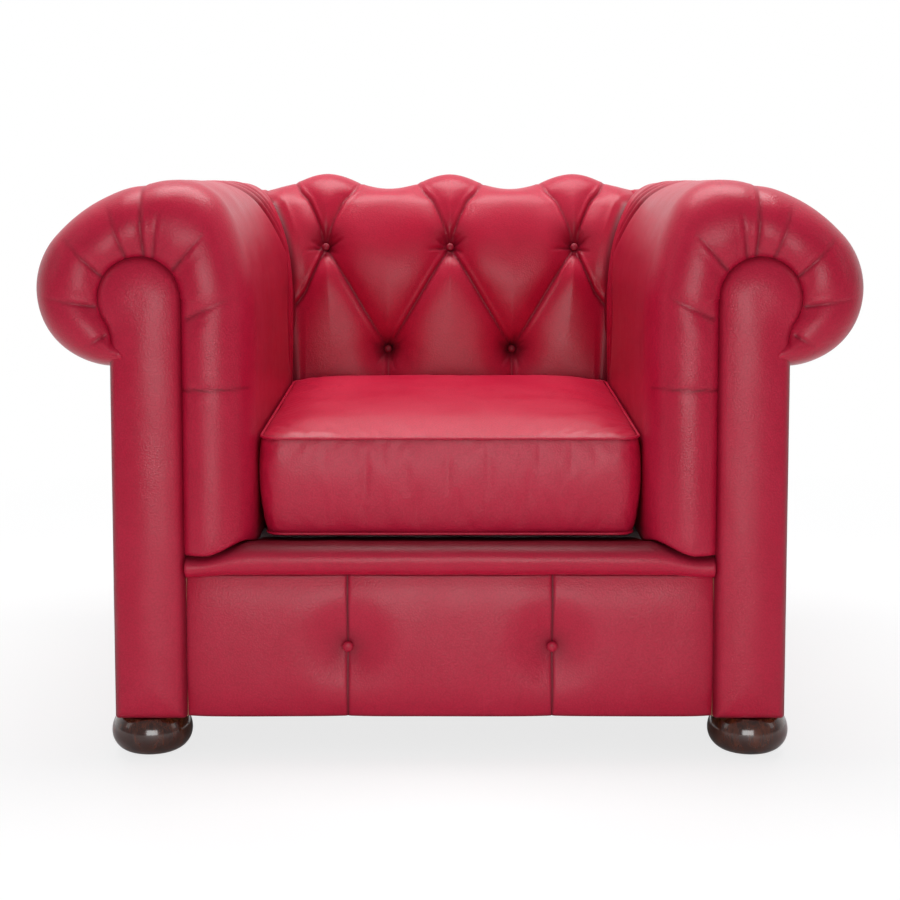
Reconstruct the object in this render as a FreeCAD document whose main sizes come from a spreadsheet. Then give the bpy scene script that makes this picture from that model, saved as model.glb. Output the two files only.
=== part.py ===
import FreeCAD, Part

import os
from types import SimpleNamespace

import Sketcher

# A chesterfield armchair: a beech frame with scroll-shaped ribs, zigzag seat springs, foam and leather covers, a
# deep-buttoned back, and a loose seat cushion that lifts out.
# Millimetres. The front looks along -Y, +X is to the viewer's right as seen from the front, and +Z is up. The origin
# is on the floor under the middle of the chair. Left is -X.

# Driving sizes: the alias of the cell, its value and what it measures.
SIZES = [
    ("seat_width", 508, "between the inside faces of the arms"),
    ("arm_width", 184, "inside face of an arm to its outside panel"),
    ("back_thickness", 184, "inside face of the back to its outside panel"),
    ("roll_overhang", 102, "how far the rolls stand out past the outside panels"),
    ("body_depth", 798, "front of the facings to the outside back"),
    ("foot_height", 54, "floor to the underside of the body"),
    ("front_panel_height", 189, "the buttoned panel below the lip"),
    ("lip_height", 40, "the rounded lip under the cushion"),
    ("arm_height", 703, "underside of the body to the crest of an arm"),
    ("crest_inset", 98, "crest of a roll behind the inside face"),
    ("crest_radius", 72, "small arc on the inside of the crest"),
    ("crest_drop", 167, "crest down to where the inside face turns straight"),
    ("roll_drop", 141, "crest down to the widest point of the roll"),
    ("roll_radius", 105, "small arc at the widest point of the roll"),
    ("corner_radius", 125, "plan rounding of the rolls at the rear corners"),
    ("front_rounding", 45, "rounding of the arms where they turn to the front"),
    ("cover", 3, "leather with its wadding"),
    ("padding", 45, "inside of the foam, measured from the leather's face"),
    ("card", 3, "curved card under the foam of the rolls"),
    ("panel", 8, "padded outside panels"),
    ("ring_set_back", 12, "pleated arm fronts behind the facings"),
    ("board_set_back", 26, "arm front boards behind the front of the facings"),
    ("front_board", 25, "thickness of the arm front boards"),
    ("rib", 22, "thickness of the ribs"),
    ("rail", 27, "thickness of the rails"),
    ("rail_height", 78, "height of the bottom rails"),
    ("seat_rail_height", 50, "height of the seat side and spring rails"),
    ("top_rail", 60, "width of the rails inside the rolls"),
    ("post", 50, "side of the rear corner posts"),
    ("facing_width", 94, "facing below its scroll head"),
    ("facing_head", 55, "radius of the scroll head of a facing"),
    ("facing_head_drop", 152, "crest down to the centre of the facing's head"),
    ("facing_neck", 40, "hollow radius under the scroll head"),
    ("facing_board", 9, "plywood inside a facing"),
    ("facing_edge", 12, "rounded edge of a facing"),
    ("panel_set_back", 20, "front panel behind the front of the facings"),
    ("panel_foam", 17, "foam in the front panel"),
    ("lip_set_back", 9, "nose of the lip behind the front of the facings"),
    ("lip_depth", 42, "front to back of the lip"),
    ("lip_nose", 20, "rounding of the lip's nose"),
    ("lip_rise", 11, "how much lower the lip lies than the deck"),
    ("button_pitch", 202, "between the buttons of a row"),
    ("button_top_drop", 102, "crest down to the upper row of buttons"),
    ("button_row_drop", 170, "upper row down to the lower row"),
    ("scallop", 12, "height of the scallops above and below the mean crest"),
    ("pleat_width", 26, "mouth of the pleats between the buttons"),
    ("pleat_depth", 11, "how deep the pleats of the back fold in"),
    ("button_radius", 9.5, "leather covered button"),
    ("button_depth", 30, "how deep the buttons of the back are drawn in"),
    ("tuft_radius", 27, "mouth of the hollow round a button of the back"),
    ("panel_button_x", 134, "buttons of the front panel from the middle"),
    ("panel_button_drop", 96, "lip down to the buttons of the front panel"),
    ("panel_button_depth", 9, "how deep the front panel's buttons are drawn in"),
    ("foot_radius", 53, "bun foot at its widest"),
    ("foot_inset", 42, "foot centre from the outside of the body"),
    ("foot_set_back", 59, "front foot centre behind the front of the facings"),
    ("foot_neck", 44, "radius of a foot's top"),
    ("foot_sole", 34, "radius of a foot's flat underside"),
    ("glide", 4, "thickness of a glide"),
    ("glide_radius", 17, "radius of a glide"),
    ("bolt_radius", 4, "hanger bolt of a foot"),
    ("bolt_in_foot", 34, "hanger bolt's length in the foot"),
    ("bolt_in_frame", 44, "hanger bolt's length in the frame"),
    ("bolt_play", 0.15, "clearance round a hanger bolt"),
    ("nut_radius", 6, "barrel of a tee nut"),
    ("nut_flange", 11, "radius of a tee nut's flange"),
    ("nut_length", 14, "length of a tee nut"),
    ("nut_plate", 1.5, "thickness of a tee nut's flange and of the dust cover"),
    ("block_width", 59, "corner block, side to side"),
    ("block_depth", 70, "corner block, front to rear"),
    ("block_height", 60, "corner block, up and down"),
    ("spring_wire", 2, "radius of the spring wire"),
    ("spring_width", 46, "width of a zigzag spring"),
    ("spring_pitch", 96, "between the springs"),
    ("spring_landing", 12, "how far a spring's ends lie on the rails"),
    ("hessian", 1.5, "sheet over the springs"),
    ("deck_cloth", 2, "platform cloth"),
    ("cushion_rear_gap", 24, "cushion to the back"),
    ("cushion_set_back", 50, "cushion behind the front of the facings"),
    ("cushion_height", 137, "cushion at its seams"),
    ("cushion_crown", 22, "rise of the cushion's top above its seams"),
    ("cushion_corner", 26, "plan rounding of the cushion"),
    ("cushion_play", 2, "cushion to arm, each side"),
    ("zip_length", 420, "zip at the rear of the cushion"),
    ("zip_tape", 28, "height of the zip's tapes"),
    ("zip_chain", 6, "height of the zip's teeth"),
    ("zip_slider", 16, "length of the zip's slider"),
    ("soft_gap", 0.3, "gap between soft faces that meet"),
]
SPRINGS = 4
HALF_LOOPS = 16
WIRE_FLATS = 0.8660254  # a flat's distance over a corner's, in six sided wire

V = FreeCAD.Vector


class Size:
    """A length worked out from the cells: its number now, and the expression that ties it to them."""

    def __init__(self, number, words):
        self.number = number
        self.words = words

    @staticmethod
    def of(value):
        return value if isinstance(value, Size) else Size(float(value), f"({float(value)!r})")

    def _with(self, other, sign, number):
        return Size(number, f"({self.words} {sign} {other.words})")

    def __add__(self, other):
        other = Size.of(other)
        return self._with(other, "+", self.number + other.number)

    def __sub__(self, other):
        other = Size.of(other)
        return self._with(other, "-", self.number - other.number)

    def __mul__(self, other):
        other = Size.of(other)
        return self._with(other, "*", self.number * other.number)

    def __truediv__(self, other):
        other = Size.of(other)
        return self._with(other, "/", self.number / other.number)

    def __radd__(self, other):
        return Size.of(other) + self

    def __rsub__(self, other):
        return Size.of(other) - self

    def __rmul__(self, other):
        return Size.of(other) * self

    def __neg__(self):
        return Size(-self.number, f"(-1 * {self.words})")

    def root(self):
        return Size(self.number**0.5, f"sqrt({self.words})")


# The document and its sheet

doc = FreeCAD.newDocument("ChesterfieldArmchair")
sheet = doc.addObject("Spreadsheet::Sheet", "Sizes")
for row, (alias, value, meaning) in enumerate(SIZES, 1):
    sheet.set(f"A{row}", alias)
    sheet.set(f"B{row}", str(value))
    sheet.set(f"C{row}", meaning)
    sheet.setAlias(f"B{row}", alias)
doc.recompute()
s = SimpleNamespace(**{alias: Size(float(sheet.get(alias)), f"Sizes.{alias}") for alias, _, _ in SIZES})

# Planes that the pieces share, worked out from the sizes

arm_in = s.seat_width / 2
arm_out = arm_in + s.arm_width
roll_out = arm_out + s.roll_overhang
front = (s.body_depth + s.roll_overhang) / -2
back_out = front + s.body_depth
back_in = back_out - s.back_thickness
roll_back = back_out + s.roll_overhang
base = s.foot_height
frame_low = base + s.nut_plate
lip_low = base + s.front_panel_height
deck = lip_low + s.lip_height
crest = base + s.arm_height
roll_height = crest - s.roll_drop
roll_low = roll_height - s.roll_overhang
core = s.padding + s.card
panel_in = arm_out - s.panel
panel_rear = back_out - s.panel
facing_in = arm_out - s.facing_width
board_front = front + s.board_set_back
board_rear = board_front + s.front_board
rail_front = front + s.panel_set_back + s.panel_foam + s.cover
rail_top = frame_low + s.rail_height
arm_cover_low = deck - s.lip_rise
top_rail_low = roll_height - s.top_rail / 2

nodes = {}


# Helpers


def bind(item, **sizes):
    """Ties properties of an object to the cells. Two underscores stand for a dot."""
    for name, value in sizes.items():
        item.setExpression(name.replace("__", "."), Size.of(value).words)
    return item


def put(item, x=0, y=0, z=0):
    return bind(item, Placement__Base__x=x, Placement__Base__y=y, Placement__Base__z=z)


def node(label, item):
    """Names a sub-part, which is then written to a file of that name."""
    item.Label = label
    nodes[label] = item
    return item


def box(name, x, y, z):
    """A block between a low and a high value along each axis."""
    made = doc.addObject("Part::Box", name)
    bind(made, Length=x[1] - x[0], Width=y[1] - y[0], Height=z[1] - z[0])
    return put(made, x[0], y[0], z[0])


def cut(name, body, *tools):
    for i, tool in enumerate(tools):
        less = doc.addObject("Part::Cut", f"{name}_{i}")
        less.Base = body
        less.Tool = tool
        body = less
    return body


def fuse(name, *items):
    made = doc.addObject("Part::MultiFuse", name)
    made.Shapes = list(items)
    return made


def common(name, first, second):
    made = doc.addObject("Part::MultiCommon", name)
    made.Shapes = [first, second]
    return made


def group(name, items):
    """Like pieces that share one node, each a solid of its own."""
    made = doc.addObject("Part::Compound", name)
    made.Links = list(items)
    return made


def mirrored(name, item):
    made = doc.addObject("Part::Mirroring", name)
    made.Source = item
    made.Normal = V(1, 0, 0)
    return made


def pair(label, item):
    """The right piece as it is, and its mirror image for the left."""
    node(f"{label}_right", item)
    node(f"{label}_left", mirrored(f"{item.Name}_left", item))


def arc_centre(start, end, radius, turn):
    """Centre of the short arc between two points, turning left (1) or right (-1)."""
    middle = (start + end) * 0.5
    chord = end - start
    rise = max(radius**2 - (chord.Length / 2) ** 2, 0.0) ** 0.5
    normal = V(-chord.y, chord.x, 0).normalize()
    return middle + normal * (rise * turn)


def drawn(body, plane, offset, outline):
    """A closed sketch. Each step of the outline is (across, up) for a straight run to the next step, or
    (across, up, radius, turn) for an arc to it, turning left (1) or right (-1)."""
    sketch = body.newObject("Sketcher::SketchObject", f"{body.Name}_sketch")
    support = [f for f in body.Origin.OriginFeatures if f.Role == plane][0]
    sketch.AttachmentSupport = [(support, "")]
    sketch.MapMode = "FlatFace"
    bind(sketch, AttachmentOffset__Base__z=offset)
    steps = [tuple(Size.of(part) for part in step) for step in outline]
    ends = []
    for i, step in enumerate(steps):
        following = steps[(i + 1) % len(steps)]
        start = V(step[0].number, step[1].number, 0)
        end = V(following[0].number, following[1].number, 0)
        if len(step) == 2:
            sketch.addGeometry(Part.LineSegment(start, end), False)
            ends.append((1, 2))
            continue
        radius, turn = step[2].number, step[3].number
        centre = arc_centre(start, end, radius, turn)
        circle = Part.Circle(centre, V(0, 0, 1), radius)
        first, last = (start, end) if turn > 0 else (end, start)
        sketch.addGeometry(Part.ArcOfCircle(circle, circle.parameter(first), circle.parameter(last)), False)
        ends.append((1, 2) if turn > 0 else (2, 1))
    for i, step in enumerate(steps):
        following = (i + 1) % len(steps)
        sketch.addConstraint(Sketcher.Constraint("Coincident", i, ends[i][1], following, ends[following][0]))
        rules = [("DistanceX", -2, step[0]), ("DistanceY", -1, step[1])]
        for kind, axis, value in rules:
            if not value.number:
                sketch.addConstraint(Sketcher.Constraint("PointOnObject", i, ends[i][0], axis))
                continue
            number = sketch.addConstraint(Sketcher.Constraint(kind, -1, 1, i, ends[i][0], value.number))
            sketch.setExpression(f"Constraints[{number}]", value.words)
        if len(step) == 4:
            number = sketch.addConstraint(Sketcher.Constraint("Radius", i, step[2].number))
            sketch.setExpression(f"Constraints[{number}]", step[2].words)
    return sketch


# The direction in which a pad leaves each plane, and where its sketch lies for a solid from low to high.
PADS = {"XY_Plane": lambda low, high: low, "XZ_Plane": lambda low, high: -high, "YZ_Plane": lambda low, high: low}


def prism(name, plane, low, high, outline):
    """An outline padded between two planes. Across and up are X and Y, X and Z, or Y and Z."""
    body = doc.addObject("PartDesign::Body", name)
    low, high = Size.of(low), Size.of(high)
    sketch = drawn(body, plane, PADS[plane](low, high), outline)
    pad = body.newObject("PartDesign::Pad", f"{name}_pad")
    pad.Profile = sketch
    bind(pad, Length=high - low)
    sketch.Visibility = False
    return body


def turned(name, outline):
    """An outline of radius and height, turned once round the Z axis."""
    body = doc.addObject("PartDesign::Body", name)
    sketch = drawn(body, "XZ_Plane", Size.of(0), outline)
    turn = body.newObject("PartDesign::Revolution", f"{name}_turn")
    turn.Profile = sketch
    turn.ReferenceAxis = (sketch, ["V_Axis"])
    turn.Angle = 360
    return body


def rounded(body, radius, chosen):
    """Rounds the edges of a body that the test picks."""
    doc.recompute()
    tip = body.Tip
    names = [f"Edge{i}" for i, edge in enumerate(tip.Shape.Edges, 1) if chosen(edge)]
    fillet = body.newObject("PartDesign::Fillet", f"{body.Name}_rounding")
    fillet.Base = (tip, names)
    bind(fillet, Radius=radius)
    return body


def lies_at(edge, axis, value):
    return all(abs(getattr(vertex.Point, axis) - value) < 0.01 for vertex in edge.Vertexes)


def rounded_front(body, radius, y, bottom):
    """Rounds the edges in the plane y, apart from the bottom one."""
    return rounded(body, radius, lambda e: lies_at(e, "y", y.number) and not lies_at(e, "z", bottom.number))


# The scroll section that arms, back, ribs and card share


def scroll(inset, start, top):
    """The section from the inside face at height start, up over the crest and round the roll to its underside, as steps
    of (u, z): u is the distance outwards from the inside face. It is inset by a thickness all along."""
    shoulder = top - s.crest_drop
    rise, run = s.crest_drop, s.crest_inset
    inner = (rise * rise + run * run - 2 * rise * s.crest_radius) / (2 * (run - s.crest_radius))
    inner_u = (run - inner) / (inner - s.crest_radius)
    inner_z = (rise - s.crest_radius) / (inner - s.crest_radius)
    reach = s.arm_width + s.roll_overhang
    wide, drop = reach - s.crest_inset, top - roll_height
    outer = (wide * wide + drop * drop - 2 * wide * s.roll_radius) / (2 * (drop - s.roll_radius))
    outer_u = (wide - s.roll_radius) / (outer - s.roll_radius)
    outer_z = (outer - drop) / (outer - s.roll_radius)
    return [
        (inset, start),
        (inset, shoulder, inner - inset, -1),
        (inner + (inner - inset) * inner_u, shoulder + (inner - inset) * inner_z, s.crest_radius - inset, -1),
        (s.crest_inset, top - inset, outer - inset, -1),
        (
            s.crest_inset + (outer - inset) * outer_u,
            top - outer + (outer - inset) * outer_z,
            s.roll_radius - inset,
            -1,
        ),
        (reach - inset, roll_height, s.roll_overhang - inset, -1),
        (s.arm_width, roll_low + inset),
    ]


def shifted(outline, across):
    """The same outline further along its first axis."""
    return [(step[0] + across, *step[1:]) for step in outline]


def block_outline(inset, start, top):
    """The scroll section, closed by a hollow turn under the roll, so that its whole upper edge is smooth."""
    turn = s.cover * 7
    wall = s.arm_width - s.facing_width / 2
    return scroll(inset, start, top) + [
        (wall + turn, roll_low + inset, turn + inset, 1),
        (wall - inset, roll_low - turn),
        (wall - inset, start),
    ]


def core_outline(inset, start, top):
    return scroll(inset, start, top) + [(s.arm_width, start)]


def shell_outline(outside, inside, start, top):
    """A wall that follows the scroll section between two insets."""
    far = scroll(inside, start, top)
    back_steps = []
    for i in range(len(far) - 1, 0, -1):
        before = far[i - 1]
        point = far[i][:2]
        back_steps.append(point if len(before) == 2 else (*point, before[2], 1))
    return scroll(outside, start, top) + back_steps + [far[0]]


# Plan regions that mitre the arms into the back


def mitre_points(inset):
    """The centre of a rounded rear corner, how far the mitre runs past it each way, and the rounding's radius."""
    centre_x, centre_y = roll_out - s.corner_radius, roll_back - s.corner_radius
    around = s.corner_radius + 1 - inset
    return centre_x, centre_y, around / Size.of(2).root(), around


def arm_region(name, inset):
    centre_x, centre_y, reach, around = mitre_points(inset)
    inner = s.padding
    outline = [
        (arm_in - inner, back_in - inner),
        (centre_x + reach, centre_y + reach, around, -1),
        (centre_x + around, centre_y),
        (centre_x + around, front - 1),
        (arm_in - inner, front - 1),
    ]
    return prism(name, "XY_Plane", base, crest + s.padding, outline)


def back_region(name, inset):
    centre_x, centre_y, reach, around = mitre_points(inset)
    inner = s.padding
    outline = [
        (inner - arm_in, back_in - inner),
        (arm_in - inner, back_in - inner),
        (centre_x + reach, centre_y + reach, around, 1),
        (centre_x, centre_y + around),
        (-centre_x, centre_y + around, around, 1),
        (-centre_x - reach, centre_y + reach),
    ]
    return prism(name, "XY_Plane", base, crest + s.padding, outline)


def scallops(name, inset):
    """Everything below the scalloped top of the back: humps over the buttons, hollows between them."""
    quarter = s.button_pitch / 4
    mean = crest - inset
    bow = (quarter * quarter + s.scallop * s.scallop) / (2 * s.scallop)
    wave = []
    for i in range(-7, 9, 2):
        turn = 1 if i % 4 == 1 else -1
        wave.append((quarter * i, mean, bow, turn) if i < 7 else (quarter * i, mean))
    wide = roll_out + 2
    outline = [(-wide, base), (-wide, mean), *wave, (wide, mean), (wide, base)]
    return prism(name, "XZ_Plane", back_in - s.padding, roll_back + 2, outline)


# Feet and what holds them


def foot_places():
    x = arm_out - s.foot_inset
    return [
        ("front_left", -x, front + s.foot_set_back),
        ("front_right", x, front + s.foot_set_back),
        ("rear_left", -x, back_out - s.foot_inset),
        ("rear_right", x, back_out - s.foot_inset),
    ]


def make_feet():
    """Bun feet: a flat sole, a full round side and a small neck under the body."""
    hole = s.bolt_radius + s.bolt_play
    depth = base - s.bolt_in_foot
    swell = s.glide + (base - s.glide) * 0.52
    low, high = swell - s.glide, base - s.soft_gap - swell
    low_run, high_run = s.foot_radius - s.foot_sole, s.foot_radius - s.foot_neck
    outline = [
        (0, s.glide),
        (s.foot_sole, s.glide, (low * low + low_run * low_run) / (2 * low_run), 1),
        (s.foot_radius, swell, (high * high + high_run * high_run) / (2 * high_run), 1),
        (s.foot_neck, base - s.soft_gap),
        (hole, base - s.soft_gap),
        (hole, depth),
        (0, depth),
    ]
    bolts, glides, nuts = [], [], []
    for place, x, y in foot_places():
        node(f"foot_{place}", put(turned(f"foot_{place}", outline), x, y))
        bolt = doc.addObject("Part::Cylinder", f"bolt_{place}")
        bind(bolt, Radius=s.bolt_radius, Height=s.bolt_in_foot + s.bolt_in_frame)
        bolts.append(put(bolt, x, y, depth))
        glide = turned(
            f"glide_{place}",
            [(0, 0), (s.glide_radius - 1, 0), (s.glide_radius, 1), (s.glide_radius, s.glide), (0, s.glide)],
        )
        glides.append(put(glide, x, y))
        nut = [
            (s.bolt_radius + s.bolt_play, frame_low),
            (s.nut_flange, frame_low),
            (s.nut_flange, frame_low + s.nut_plate),
            (s.nut_radius, frame_low + s.nut_plate),
            (s.nut_radius, frame_low + s.nut_length),
            (s.bolt_radius + s.bolt_play, frame_low + s.nut_length),
        ]
        nuts.append(put(turned(f"nut_{place}", nut), x, y))
    node("foot_bolts", group("foot_bolts", bolts))
    node("foot_glides", group("foot_glides", glides))
    node("tee_nuts", group("tee_nuts", nuts))


def nut_seat(name, x, y):
    """What is drilled out of a block or post for a tee nut and the end of its bolt."""
    outline = [
        (0, frame_low - 1),
        (s.nut_flange + s.bolt_play, frame_low - 1),
        (s.nut_flange + s.bolt_play, frame_low + s.nut_plate),
        (s.nut_radius + s.bolt_play, frame_low + s.nut_plate),
        (s.nut_radius + s.bolt_play, frame_low + s.nut_length),
        (s.bolt_radius + s.bolt_play, frame_low + s.nut_length),
        (s.bolt_radius + s.bolt_play, base + s.bolt_in_frame + 1),
        (0, base + s.bolt_in_frame + 1),
    ]
    return put(turned(name, outline), x, y)


# Frame


def make_frame():
    places = {place: (x, y) for place, x, y in foot_places()}
    post_in = panel_in - s.post
    post_front = panel_rear - s.post
    post = box("post", (post_in, panel_in), (post_front, panel_rear), (frame_low, roll_low + core))
    pair("corner_post", cut("corner_post", post, nut_seat("post_seat", *places["rear_right"])))

    node("front_rail", box("front_rail", (-facing_in, facing_in), (rail_front, rail_front + s.rail), (frame_low, lip_low)))
    rear = box("rear_rail", (-post_in, post_in), (panel_rear - s.rail, panel_rear), (frame_low, rail_top))
    node("rear_rail", rear)
    front_seat = nut_seat("front_seat", *places["front_right"])
    side = box("side_rail", (panel_in - s.rail, panel_in), (board_rear, post_front), (frame_low, rail_top))
    pair("side_rail", cut("side_rail_drilled", side, front_seat))

    seat_rail_low = lip_low - s.seat_rail_height
    seat_in = arm_in + core
    back_core = back_in + core
    seat_side = box(
        "seat_side_rail",
        (seat_in, seat_in + s.rail),
        (rail_front + s.rail, back_core + s.rail),
        (seat_rail_low, lip_low),
    )
    pair("seat_side_rail", seat_side)
    spring_rail = box("spring_rail", (-seat_in, seat_in), (back_core, back_core + s.rail), (seat_rail_low, lip_low))
    node("rear_spring_rail", spring_rail)

    block_x = panel_in - s.rail
    block = box(
        "block",
        (block_x - s.block_width, block_x),
        (board_rear, board_rear + s.block_depth),
        (frame_low, frame_low + s.block_height),
    )
    pair("corner_block", cut("block_drilled", block, front_seat))

    top_x = (panel_in - s.post, panel_in - s.post + s.rail)
    top_z = (top_rail_low, top_rail_low + s.top_rail)
    arm_rail = box("arm_top_rail", top_x, (board_rear, post_front), top_z)
    pair("arm_top_rail", arm_rail)
    top_y = (panel_rear - s.post, panel_rear - s.post + s.rail)
    back_rail = box("back_top_rail", (-post_in, post_in), top_y, top_z)
    node("back_top_rail", back_rail)

    board = [
        (facing_in, frame_low),
        (facing_in, lip_low),
        *shifted(scroll(core, lip_low, crest), arm_in),
        (panel_in, roll_low + core),
        (panel_in, frame_low),
    ]
    board = prism("arm_front_board", "XZ_Plane", board_front, board_rear, board)
    pair("arm_front_board", cut("arm_front_board_drilled", board, front_seat))

    def rib_outline(leg_in, leg_out, shift):
        return [
            *shifted(scroll(core, lip_low, crest), shift),
            (leg_out, roll_low + core),
            (leg_out, rail_top),
            (leg_in, rail_top),
            (leg_in, lip_low),
        ]

    ribs = []
    arm_ribs = {"middle": (board_rear + back_core) / 2, "rear": back_core - s.rib * 2}
    for place, y in arm_ribs.items():
        name = f"arm_rib_{place}"
        rib = prism(name, "XZ_Plane", y, y + s.rib, rib_outline(panel_in - s.post, panel_in, arm_in))
        ribs.append(cut(f"{name}_notched", rib, arm_rail))
    pair("arm_ribs", group("arm_ribs", ribs))

    ribs = []
    for place, x in {"left": -s.button_pitch, "middle": Size.of(0), "right": s.button_pitch}.items():
        name = f"back_rib_{place}"
        outline = rib_outline(panel_rear - s.post, panel_rear, back_in)
        rib = prism(name, "YZ_Plane", x - s.rib / 2, x + s.rib / 2, outline)
        ribs.append(cut(f"{name}_notched", rib, back_rail))
    node("back_ribs", group("back_ribs", ribs))


# Seat suspension


def spring_path(x, start, end, height):
    """The zigzag line of one spring: cross bars joined by chamfered turns."""
    half, chamfer = s.spring_width.number / 2, s.spring_width.number / 6
    step = (end - start) / HALF_LOOPS
    points = []
    for i in range(HALF_LOOPS + 1):
        y = start + step * i
        side = half if i % 2 else -half
        inner = side - chamfer if side > 0 else side + chamfer
        if i:
            points += [V(x - side, y - chamfer, height), V(x - inner, y, height)]
        else:
            points.append(V(x - half, y, height))
        if i < HALF_LOOPS:
            points += [V(x + inner, y, height), V(x + side, y + chamfer, height)]
        else:
            points.append(V(x + side, y, height))
    return points


def wire_along(points, radius):
    """Wire with six flats, swept along straight runs with mitred turns."""
    path = Part.makePolygon(points)
    across = points[1] - points[0]
    corners = [FreeCAD.Rotation(across, 60 * i + 30).multVec(V(0, 0, radius)) for i in range(6)]
    ring = Part.makePolygon([points[0] + c for c in [*corners, corners[0]]])
    return path.makePipeShell([ring], True, False, 1)


def make_suspension():
    start = rail_front.number + s.rail.number - s.spring_landing.number
    end = back_in.number + core.number + s.spring_landing.number
    height = lip_low.number + s.spring_wire.number
    springs = []
    for i in range(SPRINGS):
        x = (i - (SPRINGS - 1) / 2) * s.spring_pitch
        spring = doc.addObject("Part::Feature", f"spring_{i}")
        spring.Shape = wire_along(spring_path(x.number, start, end, height), s.spring_wire.number / WIRE_FLATS)
        springs.append(spring)
    node("seat_springs", group("seat_springs", springs))


def make_deck():
    side = arm_in - s.soft_gap
    springs_top = lip_low + s.spring_wire * 2 + s.soft_gap
    rear = back_in - s.soft_gap
    lip_rear = front + s.lip_set_back + s.lip_depth + s.soft_gap
    hessian_top = springs_top + s.hessian
    cloth_low = deck - s.deck_cloth
    node("spring_hessian", box("hessian", (-side, side), (lip_rear, rear), (springs_top, hessian_top)))
    node("deck_felt", box("deck_felt", (-side, side), (lip_rear, rear), (hessian_top, cloth_low)))
    node("deck_cloth", box("deck_cloth", (-side, side), (lip_rear, rear), (cloth_low, deck)))


# Arms


def make_arms():
    region = arm_region("arm_region", Size.of(0))
    inner_region = arm_region("arm_inner_region", s.cover)
    ring = front + s.ring_set_back
    low = arm_cover_low
    hole = prism("facing_hole", "XZ_Plane", front - 1, board_front, facing_outline(-s.soft_gap))

    outside = prism("arm_outside", "XZ_Plane", ring, roll_back, shifted(block_outline(Size.of(0), low, crest), arm_in))
    rounded_front(outside, s.front_rounding, ring, low)
    under = prism(
        "arm_under_leather",
        "XZ_Plane",
        ring + s.cover,
        roll_back,
        shifted(block_outline(s.cover, low, crest), arm_in),
    )
    rounded_front(under, s.front_rounding - s.cover, ring + s.cover, low)
    clear_x = (arm_in + s.front_rounding, arm_out)
    clearing = box("arm_clearing", clear_x, (ring + s.cover, roll_back), (low, roll_low + s.cover))
    board_x = (clear_x[0], panel_in + s.soft_gap)
    board_y = (board_front - s.soft_gap, board_rear + s.soft_gap)
    board_room = box("arm_board_room", board_x, board_y, (low, roll_low + core + s.soft_gap))
    inner = common("arm_inner", fuse("arm_inner_all", under, clearing, board_room), inner_region)
    leather = common("arm_leather", outside, region)
    pair("arm_cover", cut("arm_cover", leather, inner, hole))

    hollow = prism(
        "arm_hollow", "XZ_Plane", board_front, roll_back, shifted(core_outline(s.padding, low, crest), arm_in)
    )
    under_roll = box("arm_under_roll", (facing_in, arm_out), (ring, roll_back), (low, roll_low + s.padding))
    foam = cut("arm_stuffing", under, hollow, hole, under_roll)
    pair("arm_foam", common("arm_foam", foam, inner_region))

    card = prism(
        "arm_card_straight",
        "XZ_Plane",
        board_front,
        roll_back,
        shifted(shell_outline(s.padding, core, lip_low, crest), arm_in),
    )
    pair("arm_card", common("arm_card", card, inner_region))


def facing_outline(inset):
    """The scroll-headed facing: straight sides, a round head and a hollow neck on the outside."""
    head_x = facing_in + s.facing_head
    head_z = crest - s.facing_head_drop
    across = arm_out + s.facing_neck - head_x
    reach = s.facing_head + s.facing_neck
    down = (reach * reach - across * across).root()
    share = (s.facing_head - inset) / reach
    bottom = base + s.soft_gap + inset
    return [
        (facing_in + inset, bottom),
        (facing_in + inset, head_z, s.facing_head - inset, -1),
        (head_x, head_z + s.facing_head - inset, s.facing_head - inset, -1),
        (head_x + s.facing_head - inset, head_z, s.facing_head - inset, -1),
        (head_x + across * share, head_z - down * share, s.facing_neck + inset, 1),
        (arm_out - inset, head_z - down),
        (arm_out - inset, bottom),
    ]


def make_facings():
    """A leather shell over foam and a plywood board, pinned to the front board of each arm."""
    low = base + s.soft_gap
    outside = prism("facing_outside", "XZ_Plane", front, board_front, facing_outline(Size.of(0)))
    rounded_front(outside, s.facing_edge, front, low)
    inside = prism("facing_inside", "XZ_Plane", front + s.cover, board_front, facing_outline(s.cover))
    rounded_front(inside, s.facing_edge - s.cover, front + s.cover, low + s.cover)
    pair("facing_cover", cut("facing_leather", outside, inside))
    board = prism(
        "facing_board", "XZ_Plane", board_front - s.facing_board, board_front, facing_outline(s.cover + s.soft_gap)
    )
    pair("facing_board", board)
    pair("facing_foam", cut("facing_stuffing", inside, board))


# Back


def pleat(name, start, end, grow):
    """A V-shaped fold between two points of the back's face, open towards the front."""
    across, up = end[0] - start[0], end[1] - start[1]
    length = (across * across + up * up).root()
    body = doc.addObject("PartDesign::Body", name)

    def strip(half, y):
        aside, over = up * half / length, across * half / length
        corners = [(start, 1), (start, -1), (end, -1), (end, 1)]
        return drawn(body, "XZ_Plane", -y, [(at[0] + aside * side, at[1] - over * side) for at, side in corners])

    fold = body.newObject("PartDesign::AdditiveLoft", f"{name}_fold")
    fold.Profile = strip(s.pleat_width / 2 + grow, back_in - 1)
    fold.Sections = [strip(Size.of(1), back_in + s.pleat_depth + grow)]
    fold.Ruled = True
    return body


def back_pleats():
    """The folds of the diamonds, and the short ones from the lower buttons down behind the cushion."""
    places = back_button_places()
    upper, lower = places[:3], places[3:]
    lines = [(upper[i], lower[j]) for i, j in [(0, 0), (1, 0), (1, 1), (2, 1)]]
    return lines + [(at, (at[0], deck + s.cushion_height)) for at in lower]


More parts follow.
